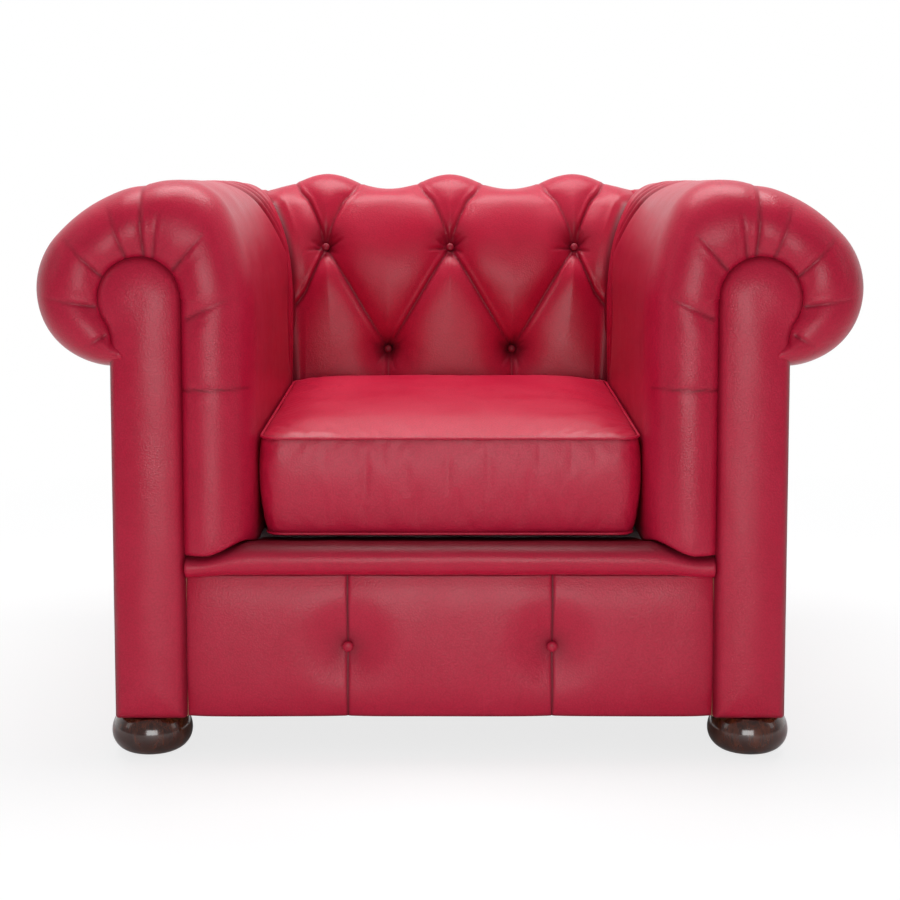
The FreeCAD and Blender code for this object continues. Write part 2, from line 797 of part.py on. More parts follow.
def tufts(name, grow):
    """The hollows and folds that the buttons draw into the back."""
    hollows = [pleat(f"{name}_pleat_{i}", start, end, grow) for i, (start, end) in enumerate(back_pleats())]
    for i, (x, z) in enumerate(back_button_places()):
        cone = doc.addObject("Part::Cone", f"{name}_{i}")
        bind(
            cone,
            Radius1=s.tuft_radius + grow,
            Radius2=s.button_radius + s.soft_gap + grow,
            Height=s.button_depth + grow + 1,
        )
        cone.Placement.Rotation = FreeCAD.Rotation(V(1, 0, 0), -90)
        hollows.append(put(cone, x, back_in - 1, z))
    return fuse(name, *hollows)


def back_button_places():
    top = crest - s.button_top_drop
    rows = [(top, (-1, 0, 1)), (top - s.button_row_drop, (-0.5, 0.5))]
    return [(s.button_pitch * k, z) for z, row in rows for k in row]


def covered_button(name, radius):
    """A domed leather button, its face towards -Y."""
    dome = radius * 0.55
    bow = (radius * radius + dome * dome) / (2 * dome)
    made = turned(name, [(0, 0), (radius, 0), (radius, 2, bow, 1), (0, dome + 2)])
    made.Placement.Rotation = FreeCAD.Rotation(V(1, 0, 0), 90)
    return made


def make_back():
    region = back_region("back_region", Size.of(0))
    inner_region = back_region("back_inner_region", s.cover)
    low = arm_cover_low
    top = crest + s.scallop
    wide = roll_out + 1
    outside = prism("back_outside", "YZ_Plane", -wide, wide, shifted(core_outline(Size.of(0), low, top), back_in))
    under = prism("back_under_leather", "YZ_Plane", -wide, wide, shifted(core_outline(s.cover, low, top), back_in))
    clearing = box("back_clearing", (-wide, wide), (back_in + s.cover, back_out), (low, roll_low + s.cover))
    outer = common("back_outer", outside, scallops("scallops_outside", Size.of(0)))
    inner = common("back_inner", fuse("back_inner_all", under, clearing), scallops("scallops_inside", s.cover))
    face = cut("back_face", common("back_whole", outer, region), tufts("tufts_outside", Size.of(0)))
    bed = cut("back_bed", common("back_bed_whole", inner, inner_region), tufts("tufts_inside", s.cover))
    node("back_cover", cut("back_cover", face, bed))

    hollow = prism("back_hollow", "YZ_Plane", -wide, wide, shifted(core_outline(s.padding, low, crest), back_in))
    under_roll = box("back_under_roll", (-wide, wide), (back_in + s.padding, back_out), (low, roll_low + s.padding))
    node("back_foam", cut("back_foam", bed, hollow, under_roll))

    card_low = lip_low + s.spring_wire * 2 + s.soft_gap
    outline = shifted(shell_outline(s.padding, core, card_low, crest), back_in)
    card = prism("back_card_straight", "YZ_Plane", -wide, wide, outline)
    node("back_card", common("back_card", card, inner_region))

    buttons = []
    face_y = back_in + s.button_depth - s.soft_gap
    for i, (x, z) in enumerate(back_button_places()):
        buttons.append(put(covered_button(f"back_button_{i}", s.button_radius), x, face_y, z))
    node("back_buttons", group("back_buttons", buttons))


# Front panel and lip


def make_front():
    side = facing_in - s.soft_gap
    panel_front = front + s.panel_set_back
    low, high = base, lip_low - s.soft_gap
    outside = box("panel_outside", (-side, side), (panel_front, rail_front), (low, high))
    inside = box(
        "panel_inside",
        (s.cover - side, side - s.cover),
        (panel_front + s.cover, rail_front),
        (low + s.cover, high - s.cover),
    )
    places = [(-s.panel_button_x, lip_low - s.panel_button_drop), (s.panel_button_x, lip_low - s.panel_button_drop)]
    hollows = {}
    for grow, name in [(Size.of(0), "outside"), (s.cover, "inside")]:
        cones = []
        for i, (x, z) in enumerate(places):
            cone = doc.addObject("Part::Cone", f"panel_tuft_{name}_{i}")
            bind(
                cone,
                Radius1=s.tuft_radius + grow,
                Radius2=s.button_radius * 0.7 + grow,
                Height=s.panel_button_depth + grow,
            )
            cone.Placement.Rotation = FreeCAD.Rotation(V(1, 0, 0), -90)
            cones.append(put(cone, x, panel_front, z))
        hollows[name] = fuse(f"panel_tufts_{name}", *cones)
    face = cut("panel_face", outside, hollows["outside"])
    bed = cut("panel_bed", inside, hollows["inside"])
    node("front_panel_cover", cut("panel_leather", face, bed))
    node("front_panel_foam", bed)
    buttons = []
    for i, (x, z) in enumerate(places):
        button = covered_button(f"panel_button_{i}", s.button_radius * 0.6)
        buttons.append(put(button, x, panel_front + s.panel_button_depth - s.soft_gap, z))
    node("front_panel_buttons", group("front_panel_buttons", buttons))

    nose = front + s.lip_set_back
    rear = nose + s.lip_depth
    top = deck - s.lip_rise - s.soft_gap

    def lip(inset):
        return [
            (rear, lip_low + inset),
            (rear, top - inset),
            (nose + s.lip_nose, top - inset, s.lip_nose - inset, 1),
            (nose + inset, top - s.lip_nose),
            (nose + inset, lip_low + inset),
        ]

    board_x = (arm_in + s.padding - s.soft_gap, facing_in)
    notch = box("lip_notch", board_x, (board_front - s.soft_gap, board_rear), (lip_low - 1, deck))
    notches = fuse("lip_notches", notch, mirrored("lip_notch_left", notch))
    outer = cut("lip_outer", prism("lip_outside", "YZ_Plane", -side, side, lip(Size.of(0))), notches)
    inner = cut("lip_inner", prism("lip_inside", "YZ_Plane", s.cover - side, side - s.cover, lip(s.cover)), notches)
    node("lip_cover", cut("lip_leather", outer, inner))
    node("lip_foam", inner)


def make_outside():
    """Plain padded panels on the outside of the arms and the back, and the dust cover under the seat."""
    top = roll_low - s.soft_gap
    side = box("outside_arm", (panel_in, arm_out), (board_front, back_out), (base, top))
    pair("outside_arm_cover", side)
    inner = panel_in - s.soft_gap
    node("outside_back_cover", box("outside_back", (-inner, inner), (panel_rear, back_out), (base, top)))
    cloth = box("dust_cloth", (-inner, inner), (board_rear, panel_rear), (base, frame_low))
    holes = []
    for place, x, y in foot_places():
        hole = doc.addObject("Part::Cylinder", f"cloth_hole_{place}")
        bind(hole, Radius=s.bolt_radius + s.bolt_play, Height=s.foot_height)
        holes.append(put(hole, x, y, frame_low - s.foot_height / 2))
    node("dust_cover", cut("dust_cover", cloth, fuse("cloth_holes", *holes)))


# Seat cushion


def cushion_plan(inset):
    """Rounded rectangle seen from above."""
    x = arm_in - s.cushion_play - inset
    y0 = front + s.cushion_set_back + inset
    y1 = back_in - s.cushion_rear_gap - inset
    r = s.cushion_corner - inset
    return [
        (-x, y0 + r, r, 1),
        (r - x, y0),
        (x - r, y0, r, 1),
        (x, y0 + r),
        (x, y1 - r, r, 1),
        (x - r, y1),
        (r - x, y1, r, 1),
        (-x, y1 - r),
    ]


def cushion_crown(name, inset):
    """Everything below the crowned top of the cushion."""
    x = arm_in + 1
    seam = deck + s.cushion_height - inset
    bow = (x * x + s.cushion_crown * s.cushion_crown) / (2 * s.cushion_crown)
    low = deck + s.soft_gap + inset
    y = (front + s.cushion_set_back - 1, back_in - s.cushion_rear_gap + 1)
    outline = [(x, low), (x, seam, bow, 1), (-x, seam), (-x, low)]
    return prism(name, "XZ_Plane", y[0], y[1], outline)


def make_cushion():
    top = deck + s.cushion_height + s.cushion_crown + 1
    outer_plan = prism("cushion_outer", "XY_Plane", deck, top, cushion_plan(Size.of(0)))
    inner_plan = prism("cushion_inner", "XY_Plane", deck, top, cushion_plan(s.cover))
    outside = common("cushion_outside", outer_plan, cushion_crown("cushion_crown_outside", Size.of(0)))
    inside = common("cushion_inside", inner_plan, cushion_crown("cushion_crown_inside", s.cover))
    rear = back_in - s.cushion_rear_gap
    middle = deck + s.cushion_height / 2
    half = s.zip_length / 2
    slot = box(
        "zip_slot", (-half, half), (rear - s.cover, rear), (middle - s.zip_tape / 2, middle + s.zip_tape / 2)
    )
    leather = cut("cushion_leather", outside, inside, slot)
    node("cushion_cover", leather)
    node("cushion_core", inside)
    gap = s.zip_chain / 2
    tape_y = (rear - s.cover, rear - s.cover / 2)
    tapes = [
        box("zip_tape_low", (-half, half), tape_y, (middle - s.zip_tape / 2, middle - s.soft_gap / 2)),
        box("zip_tape_high", (-half, half), tape_y, (middle + s.soft_gap / 2, middle + s.zip_tape / 2)),
    ]
    node("zip_tapes", group("zip_tapes", tapes))
    chain_y = (rear - s.cover / 2, rear - s.cover / 2 + 1)
    node("zip_chain", box("zip_chain", (-half, half), chain_y, (middle - gap, middle + gap)))
    start = -half + s.zip_slider / 2
    slider = box(
        "zip_slider_body",
        (start, start + s.zip_slider),
        (chain_y[1] + s.soft_gap, chain_y[1] + s.soft_gap + 2),
        (middle - gap - 1, middle + gap + 1),
    )
    node("zip_slider", slider)


def check_and_write():
    doc.recompute()
    for item in doc.Objects:
        if "Invalid" in item.State or "Error" in item.State:
            raise RuntimeError(f"{item.Name} could not be built: {item.State}")
    for label, item in nodes.items():
        if item.Shape.isNull() or not item.Shape.isValid():
            raise RuntimeError(f"{label} is not a valid solid")
        if not item.Shape.Solids:
            raise RuntimeError(f"{label} holds no solid")
    os.makedirs("parts", exist_ok=True)
    for label, item in nodes.items():
        item.Shape.exportStep(os.path.join("parts", f"{label}.step"))


make_feet()
make_frame()
make_suspension()
make_deck()
make_arms()
make_facings()
make_back()
make_front()
make_outside()
make_cushion()
check_and_write()
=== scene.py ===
"""Looks of the chesterfield armchair: leather, pleats, buttons and lights on the CAD model's frame.

Metres. The front looks along -Y, +X is to the viewer's right seen from the front, and +Z is up.
"""

import math

import bmesh
import bpy
import numpy as np
from mathutils import Matrix, Vector, noise


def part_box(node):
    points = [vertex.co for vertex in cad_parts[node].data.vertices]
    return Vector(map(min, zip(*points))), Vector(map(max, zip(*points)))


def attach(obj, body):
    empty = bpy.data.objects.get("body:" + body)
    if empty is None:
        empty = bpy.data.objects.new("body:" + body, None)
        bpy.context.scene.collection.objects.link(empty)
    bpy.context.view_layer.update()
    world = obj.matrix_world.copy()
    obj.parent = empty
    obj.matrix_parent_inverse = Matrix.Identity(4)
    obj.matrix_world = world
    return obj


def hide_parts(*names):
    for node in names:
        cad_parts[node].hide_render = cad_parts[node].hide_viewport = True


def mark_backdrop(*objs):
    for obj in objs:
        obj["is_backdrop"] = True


bl_info = {
    "name": "Chesterfield armchair",
    "version": (1, 0, 0),
    "blender": (4, 5, 0),
    "location": "View3D > Sidebar > Armchair",
    "description": "Dresses the armchair's frame in buttoned leather and sets up its studio",
    "category": "Object",
}

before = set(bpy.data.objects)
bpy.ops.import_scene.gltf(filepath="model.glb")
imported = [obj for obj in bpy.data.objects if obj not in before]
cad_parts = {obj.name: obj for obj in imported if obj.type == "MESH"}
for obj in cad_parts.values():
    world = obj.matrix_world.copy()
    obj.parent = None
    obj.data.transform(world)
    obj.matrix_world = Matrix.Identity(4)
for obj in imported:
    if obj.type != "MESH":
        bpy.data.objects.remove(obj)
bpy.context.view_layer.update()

MM = 0.001

# Places read from the frame

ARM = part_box("arm_cover_right")
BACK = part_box("back_cover")
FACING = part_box("facing_cover_right")
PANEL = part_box("front_panel_cover")
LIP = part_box("lip_cover")
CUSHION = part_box("cushion_cover")
OUTSIDE_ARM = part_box("outside_arm_cover_right")
OUTSIDE_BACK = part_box("outside_back_cover")

ARM_IN = ARM[0].x
ROLL_OUT = ARM[1].x
COVER_LOW = ARM[0].z
CREST = ARM[1].z
BACK_IN = BACK[0].y
ARM_OUT = OUTSIDE_ARM[1].x
FRONT = FACING[0].y
ARM_WIDTH = ARM_OUT - ARM_IN
REACH = ROLL_OUT - ARM_IN
OVERHANG = ROLL_OUT - ARM_OUT

# The leather's thickness, and the section that arms and back share, as in the CAD model

LEATHER = 2.5 * MM
CREST_INSET = 98 * MM
CREST_RADIUS = 72 * MM
CREST_DROP = 167 * MM
ROLL_DROP = 141 * MM
ROLL_RADIUS = 105 * MM
HEAD_RADIUS = 55 * MM
NECK_RADIUS = 40 * MM
HEAD_X = FACING[0].x + HEAD_RADIUS
HEAD_Z = FACING[1].z - HEAD_RADIUS
BUTTON_PITCH = 202 * MM
BUTTON_TOP_DROP = 102 * MM
BUTTON_ROW_DROP = 170 * MM
PANEL_BUTTON_X = 134 * MM
PANEL_BUTTON_DROP = 96 * MM


class ArmchairLook(bpy.types.PropertyGroup):
    """Sizes and colours that a user would change."""

    leather: bpy.props.FloatVectorProperty(
        name="Leather",
        description="Colour of the leather",
        subtype="COLOR",
        size=3,
        default=(0.47, 0.006, 0.036),
    )
    wear: bpy.props.FloatVectorProperty(
        name="Rubbed leather",
        description="Colour of the leather where it is stretched or rubbed",
        subtype="COLOR",
        size=3,
        default=(0.56, 0.018, 0.06),
    )
    wood: bpy.props.FloatVectorProperty(
        name="Feet",
        description="Colour of the feet's stain",
        subtype="COLOR",
        size=3,
        default=(0.034, 0.0075, 0.0023),
    )
    gloss: bpy.props.FloatProperty(
        name="Leather roughness", description="Roughness of the leather's finish", default=0.37, min=0, max=1
    )
    grain: bpy.props.FloatProperty(
        name="Grain", description="Size of the leather's pebbles", default=2.4 * MM, unit="LENGTH"
    )
    fold_depth: bpy.props.FloatProperty(
        name="Fold depth", description="Depth of the pleats of the back", default=11 * MM, unit="LENGTH"
    )
    button_depth: bpy.props.FloatProperty(
        name="Button depth", description="Depth of the back's hollows", default=24 * MM, unit="LENGTH"
    )
    pillow: bpy.props.FloatProperty(
        name="Pillow", description="Swell of the back between its pleats", default=9 * MM, unit="LENGTH"
    )
    scallop: bpy.props.FloatProperty(
        name="Scallop", description="Rise and fall of the back's crest", default=12 * MM, unit="LENGTH"
    )


def look():
    """The sizes and colours that are set in the scene."""
    return bpy.context.scene.armchair_look


# Small tools


def clear_selection():
    for item in bpy.context.selected_objects:
        item.select_set(False)


def choose(item):
    clear_selection()
    item.select_set(True)
    bpy.context.view_layer.objects.active = item


def bump(distance, width):
    """One at distance zero, falling to nothing in a soft bell."""
    return np.exp(-((distance / width) ** 2))


def crease(distance, width):
    """One at distance zero, falling off sharply as a crease does."""
    return np.exp(-np.abs(distance) / width)


def smooth(low, high, value):
    """From 0 at low to 1 at high."""
    t = np.clip((value - low) / (high - low), 0, 1)
    return t * t * (3 - 2 * t)


def ripple(points, scale, seed=0.0):
    """Soft unevenness from about -1 to 1 at each point."""
    flat = points.reshape(-1, 3) / scale + seed
    values = [noise.noise(Vector(p)) for p in flat]
    return np.array(values).reshape(points.shape[:-1])


def run_to(points, start, end):
    """Of 2-D points: how far they are from a line, how far along it (0 to 1) and how far to one side."""
    start, end = np.asarray(start, float), np.asarray(end, float)
    along = end - start
    length = np.hypot(*along)
    rel = points - start
    t = np.clip((rel @ along) / length**2, 0, 1)
    near = start + t[..., None] * along
    gap = points - near
    side = along[0] * rel[..., 1] - along[1] * rel[..., 0]
    return np.hypot(gap[..., 0], gap[..., 1]), t, side / length


def path_to(points, corners):
    """The same for a line through several corners, with t along all of it."""
    best = None
    pieces = len(corners) - 1
    for i in range(pieces):
        d, t, s = run_to(points, corners[i], corners[i + 1])
        t = (i + t) / pieces
        if best is None:
            best, where, side = d, t, s
            continue
        closer = d < best
        best = np.where(closer, d, best)
        where = np.where(closer, t, where)
        side = np.where(closer, s, side)
    return best, where, side


def curve_through(corners, steps=8):
    """A smooth line through a few corners (Catmull-Rom)."""
    p = np.array([corners[0], *corners, corners[-1]], float)
    out = []
    for a, b, c, d in zip(p, p[1:], p[2:], p[3:]):
        bend = 2 * a - 5 * b + 4 * c - d
        twist = 3 * b - a - 3 * c + d
        for t in np.linspace(0, 1, steps, endpoint=False):
            out.append(0.5 * (2 * b + (c - a) * t + bend * t * t + twist * t**3))
    out.append(p[-2])
    return [tuple(q) for q in out]


def spaced(stops):
    """Positions from stops of (start, step): each stretch is divided evenly, at about its step."""
    out = []
    for (low, step), (high, _) in zip(stops, stops[1:]):
        count = max(1, round(abs(high - low) / step))
        out.extend(np.linspace(low, high, count, endpoint=False))
    out.append(stops[-1][0])
    return np.array(out)


def normals_of(points):
    """Unit normals of a grid of points."""
    across = np.cross(np.gradient(points, axis=0), np.gradient(points, axis=1))
    return across / np.maximum(np.linalg.norm(across, axis=-1, keepdims=True), 1e-12)


def set_painted_shade(mesh, values):
    """Stores how much painted shade each vertex gets, from 0 to 1; the leather's colour darkens with it, and its
    roughness rises a little.
    """
    attribute = mesh.attributes.new("painted_shade", "FLOAT", "POINT")
    attribute.data.foreach_set("value", np.asarray(values, np.float32).ravel())


def mesh_object(name, verts, faces, painted_shade=None):
    """A new object from vertices and faces."""
    mesh = bpy.data.meshes.new(name)
    mesh.from_pydata([tuple(v) for v in verts], [], [tuple(f) for f in faces])
    if painted_shade is not None:
        set_painted_shade(mesh, painted_shade)
    mesh.validate()
    mesh.shade_smooth()
    item = bpy.data.objects.new(name, mesh)
    bpy.context.scene.collection.objects.link(item)
    return item


def grid_faces(rows, cols, around=False):
    """Four-sided faces between the rows of a grid. around joins its last column to its first."""
    faces = []
    last = cols if around else cols - 1
    for i in range(rows - 1):
        for j in range(last):
            k = (j + 1) % cols
            faces.append((i * cols + j, i * cols + k, (i + 1) * cols + k, (i + 1) * cols + j))
    return faces


def sheet_from(name, points, painted_shade, outward):
    """A sheet of leather from a grid of points. outward gives the outward direction at a face's centre."""
    rows, cols = points.shape[:2]
    item = mesh_object(name, points.reshape(-1, 3), grid_faces(rows, cols), painted_shade)
    merge(item)
    middle = item.data.polygons[len(item.data.polygons) // 2]
    if middle.normal.dot(outward(middle.center)) < 0:
        item.data.flip_normals()
    wall = item.modifiers.new("Thickness", "SOLIDIFY")
    wall.thickness = LEATHER
    wall.offset = -1
    wall.use_rim = True
    apply_all(item)
    return item


def merge(item, distance=0.02 * MM):
    """Joins vertices that lie in one place, as at a pole or where a row is drawn together."""
    made = bmesh.new()
    made.from_mesh(item.data)
    bmesh.ops.remove_doubles(made, verts=made.verts, dist=distance)
    bmesh.ops.dissolve_degenerate(made, edges=made.edges, dist=distance / 4)
    made.to_mesh(item.data)
    made.free()


def close_shell(item, axis=None, place=0.0):
    """Fills the open edges and turns all faces out. The rim may first be drawn to a place on an axis."""
    made = bmesh.new()
    made.from_mesh(item.data)
    if axis is not None:
        grown = bmesh.ops.extrude_edge_only(made, edges=[e for e in made.edges if e.is_boundary])
        for part in grown["geom"]:
            if isinstance(part, bmesh.types.BMVert):
                part.co[axis] = place
    bmesh.ops.holes_fill(made, edges=[e for e in made.edges if e.is_boundary], sides=0)
    bmesh.ops.recalc_face_normals(made, faces=made.faces)
    made.to_mesh(item.data)
    made.free()


def apply_all(item):
    choose(item)
    for modifier in list(item.modifiers):
        bpy.ops.object.modifier_apply(modifier=modifier.name)


def mirror_of(item, name):
    """The same piece on the left. It is made before the first one is finished."""
    other = item.copy()
    other.data = item.data.copy()
    other.name = name
    other.data.name = name
    bpy.context.scene.collection.objects.link(other)
    other.data.transform(Matrix.Scale(-1, 4, (1, 0, 0)))
    other.data.flip_normals()
    return other


def finish_piece(item, material, body, slot, *nodes, fill=None):
    """Gives a piece its material and body, and hides the nodes of the frame that it stands for. The slot is not
    used.
    """
    item.data.materials.clear()
    item.data.materials.append(material)
    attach(item, body)
    if nodes:
        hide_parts(*nodes)
    return item


# The scroll section: outwards distance u and height z along its length s


def section_parts():
    """Straight face, then five arcs, each as (centre u, centre z, radius, from angle, to angle)."""
    shoulder = CREST - CREST_DROP
    inner = CREST_DROP**2 + CREST_INSET**2 - 2 * CREST_DROP * CREST_RADIUS
    inner /= 2 * (CREST_INSET - CREST_RADIUS)
    wide, drop = REACH - CREST_INSET, ROLL_DROP
    outer = (wide**2 + drop**2 - 2 * wide * ROLL_RADIUS) / (2 * (drop - ROLL_RADIUS))
    roll_z = CREST - ROLL_DROP
    one = math.atan2(CREST_DROP - CREST_RADIUS, CREST_INSET - inner)
    two = math.atan2(roll_z - CREST + outer, wide - ROLL_RADIUS)
    return shoulder, [
        (inner, shoulder, inner, math.pi, one),
        (CREST_INSET, CREST - CREST_RADIUS, CREST_RADIUS, one, math.pi / 2),
        (CREST_INSET, CREST - outer, outer, math.pi / 2, two),
        (REACH - ROLL_RADIUS, roll_z, ROLL_RADIUS, two, 0),
        (ARM_WIDTH, roll_z, OVERHANG, 0, -math.pi / 2),
    ]


SHOULDER, ARCS = section_parts()
FACE = SHOULDER - COVER_LOW
ARC_ENDS = np.cumsum([FACE] + [radius * (start - end) for _, _, radius, start, end in ARCS])
CREST_AT = ARC_ENDS[2]
TUCK = 16 * MM
SECTION_LENGTH = ARC_ENDS[-1] + TUCK


def section(s):
    """Outwards distance and height at lengths s along the section, from its low inside edge."""
    s = np.asarray(s, float)
    u = np.zeros_like(s)
    z = COVER_LOW + s
    for (cu, cz, radius, start, _), low in zip(ARCS, ARC_ENDS):
        angle = start - (s - low) / radius
        inside = s > low
        u = np.where(inside, cu + radius * np.cos(angle), u)
        z = np.where(inside, cz + radius * np.sin(angle), z)
    past = s > ARC_ENDS[-1]
    u = np.where(past, ARM_WIDTH - (s - ARC_ENDS[-1]), u)
    z = np.where(past, CREST - ROLL_DROP - OVERHANG, z)
    return u, z


def height_to_length(z):
    """Length along the section at a height on its inside face."""
    if z <= SHOULDER:
        return z - COVER_LOW
    _, cz, radius, _, end = ARCS[0]
    reached = math.asin(min(1, (z - cz) / radius))
    if reached <= math.pi - end:
        return FACE + reached * radius
    _, cz, radius, start, _ = ARCS[1]
    return ARC_ENDS[1] + (start - math.pi + math.asin((z - cz) / radius)) * radius


def corner_radius(u):
    """Plan rounding where the back turns into an arm, small inside and large outside."""
    return 20 * MM + 0.37 * u


# Arms

FRONT_EDGE = FRONT + 75 * MM
PLEAT_TABLE = [
    # degrees and distance from the scroll's centre: at the facing, then at the outer end; depth
    (97.5, 54, 90, 178, 1.0),
    (73, 54, 71, 122, 0.8),
    (110, 54, 104, 112, 0.75),
    (140, 56, 136, 116, 0.9),
    (204, 65, 180, 118, 0.85),
    (31, 54, 38, 122, 0.9),
    (-10, 56, -1, 118, 0.9),
    (-48, 62, -43, 92, 0.8),
]
SIDE_FOLDS = [
    # distance from the mitre and length along the section, and the crease's depth
    ([(0.330, 0.525), (0.200, 0.470), (0.110, 0.425), (0.045, 0.372)], 1.0),
    ([(0.270, 0.535), (0.160, 0.487), (0.085, 0.445), (0.032, 0.400)], 0.9),
    ([(0.190, 0.540), (0.110, 0.505), (0.055, 0.468), (0.020, 0.430)], 0.8),
    ([(0.024, 0.370), (0.032, 0.270), (0.024, 0.170)], 2.0),
    ([(0.054, 0.360), (0.064, 0.272), (0.050, 0.190)], 1.7),
]


def facing_edge(s):
    """Where the leather of the arm's front goes in behind the facing, for lengths along the section."""
    u, z = section(s)
    x = ARM_IN + u
    straight_x = FACING[0].x + 3 * MM
    lift = (HEAD_Z - COVER_LOW) / (SHOULDER - COVER_LOW)
    tx = np.full_like(z, straight_x)
    tz = COVER_LOW + (z - COVER_LOW) * lift
    angle = np.arctan2(z - HEAD_Z, x - HEAD_X)
    angle = np.where((angle < 0) & (x < HEAD_X), angle + 2 * math.pi, angle)
    first = angle[np.argmax(s >= FACE)]
    on_head = angle * math.pi / first
    across = ARM_OUT + NECK_RADIUS - HEAD_X
    reach = HEAD_RADIUS + NECK_RADIUS
    join = -math.acos(across / reach)
    last = angle[np.argmax(s >= ARC_ENDS[-1] - 1e-6)]
    part = np.clip(angle / last, 0, 1)
    low_head = join * np.clip(part / 0.55, 0, 1)
    head_angle = np.where(angle > 0, on_head, low_head)
    radius = HEAD_RADIUS - 5 * MM
    hx, hz = HEAD_X + radius * np.cos(head_angle), HEAD_Z + radius * np.sin(head_angle)
    neck_x, neck_z = ARM_OUT + NECK_RADIUS, HEAD_Z - math.sqrt(reach**2 - across**2)
    turn = math.pi + join + (-join) * np.clip((part - 0.55) / 0.45, 0, 1)
    nx, nz = neck_x + (NECK_RADIUS + 5 * MM) * np.cos(turn), neck_z + (NECK_RADIUS + 5 * MM) * np.sin(turn)
    curved = s > FACE
    on_neck = curved & (angle < 0) & (part > 0.55)
    tx = np.where(curved, hx, tx)
    tz = np.where(curved, hz, tz)
    tx = np.where(on_neck, nx, tx)
    tz = np.where(on_neck, nz, tz)
    past = np.clip(s - ARC_ENDS[-1], 0, None)
    return tx - past, tz - past * 0.6


# Each sheet runs a little past the mitre. So many rows of the arm's sheet tuck in behind its facing.
OVERLAP = 5 * MM
TUCK_ROWS = 44


def arm_grid():
    """The undisplaced arm: rows run from the mitre at the back to the facing, columns along the section.

    Returns the points, how far each lies from the mitre and its length along the section.
    """
    s = spaced([(0, 5 * MM), (0.17, 3.2 * MM), (ARC_ENDS[-1], 5 * MM), (SECTION_LENGTH, 0)])
    u, z = section(s)
    rho = corner_radius(u)
    arc = rho * math.pi / 4
    cy = BACK_IN + u - rho
    side = arc + cy - FRONT_EDGE
    rows, from_mitre = [], []
    for w in spaced([(0, 0.006), (0.10, 0.009), (0.5, 0.014), (0.86, 0.010), (1, 0)])[:-1]:
        m = w * (side + OVERLAP) - OVERLAP
        phi = math.pi / 4 - m / rho
        turning = m < arc
        x = np.where(turning, ARM_IN + u - rho + rho * np.cos(phi), ARM_IN + u)
        y = np.where(turning, cy + rho * np.sin(phi), cy - (m - arc))
        rows.append(np.stack([x, y, z], -1))
        from_mitre.append(m)
    tx, tz = facing_edge(s)
    for t in np.linspace(0, 1, TUCK_ROWS):
        a, b, c, d = (1 - t) ** 3, 3 * t * (1 - t) ** 2, 3 * t * t * (1 - t), t**3
        share = a + b + 0.08 * c
        y = a * FRONT_EDGE + b * (FRONT - 10 * MM) + c * (FRONT - 9 * MM) + d * (FRONT + 24 * MM)
        x = tx + (ARM_IN + u - tx) * share
        zz = tz + (z - tz) * share
        rows.append(np.stack([x, np.full_like(x, y), zz], -1))
        from_mitre.append(side + t * 60 * MM)
    lengths = np.broadcast_to(s, (len(rows), len(s)))
    return np.array(rows), np.array(from_mitre), lengths


def arm_relief(points, from_mitre, lengths):
    """Height of the arm's leather above the plain surface, and the painted shade each point gets along its
    pleats, seam, creases and mitre.
    """
    x, y, z = points[..., 0], points[..., 1], points[..., 2]
    plane = np.stack([x, z], -1)
    height = ripple(points, 85 * MM) * 1.1 * MM
    painted_shade = np.zeros_like(x)
    fade = np.where(y > FRONT_EDGE, np.exp(-(y - FRONT_EDGE) / (110 * MM)), 1.0)
    for edge, near, outer, far, depth in PLEAT_TABLE:
        a, b = math.radians(edge), math.radians(outer)
        start = (HEAD_X + near * MM * math.cos(a), HEAD_Z + near * MM * math.sin(a))
        end = (HEAD_X + far * MM * math.cos(b), HEAD_Z + far * MM * math.sin(b))
        d, t, side = run_to(plane, start, end)
        strength = depth * (1 - 0.8 * t) * fade
        height -= strength * (4.5 * MM * crease(d, 2.6 * MM) + 5 * MM * bump(d, 15 * MM))
        height += strength * 1.6 * MM * bump(side - 6 * MM, 4 * MM) * bump(d, 9 * MM)
        painted_shade = np.maximum(painted_shade, 0.65 * strength * bump(d, 2.8 * MM))
    hem = [(FACING[0].x, 487 * MM), (ARM_IN + 8 * MM, 488 * MM)]
    d, t, _ = run_to(plane, *hem)
    seam = np.where(y < FRONT_EDGE, 1.0, 0.25) * (1 - 0.5 * t)
    height -= seam * (1.6 * MM * crease(d, 1.8 * MM) + 1.2 * MM * bump(d, 10 * MM))
    painted_shade = np.maximum(painted_shade, seam * 0.8 * bump(d, 2.0 * MM))
    flat = np.stack([from_mitre, lengths], -1)
    for corners, depth in SIDE_FOLDS:
        d, t, side = path_to(flat, curve_through(corners))
        strength = depth * np.sin(np.pi * np.clip(t, 0.02, 0.98)) ** 0.6
        height -= strength * (4.5 * MM * crease(d, 4 * MM) + 2 * MM * bump(d, 16 * MM))
        height += strength * 4.5 * MM * bump(side + 9 * MM, 7 * MM) * bump(d, 18 * MM)
        painted_shade = np.maximum(painted_shade, 0.6 * strength * bump(d, 3.5 * MM))
    height -= 10 * MM * smooth(9 * MM, -OVERLAP, from_mitre) + 2 * MM * bump(from_mitre, 26 * MM)
    painted_shade = np.maximum(painted_shade, 0.6 * smooth(5 * MM, -1 * MM, from_mitre))
    height -= 3 * MM * crease(lengths, 7 * MM)
    tucked = np.ones(points.shape[:2])
    tucked[-TUCK_ROWS:] = smooth(1.0, 0.72, np.linspace(0, 1, TUCK_ROWS))[:, None]
    height *= tucked
    return height, np.clip(painted_shade, 0, 1)


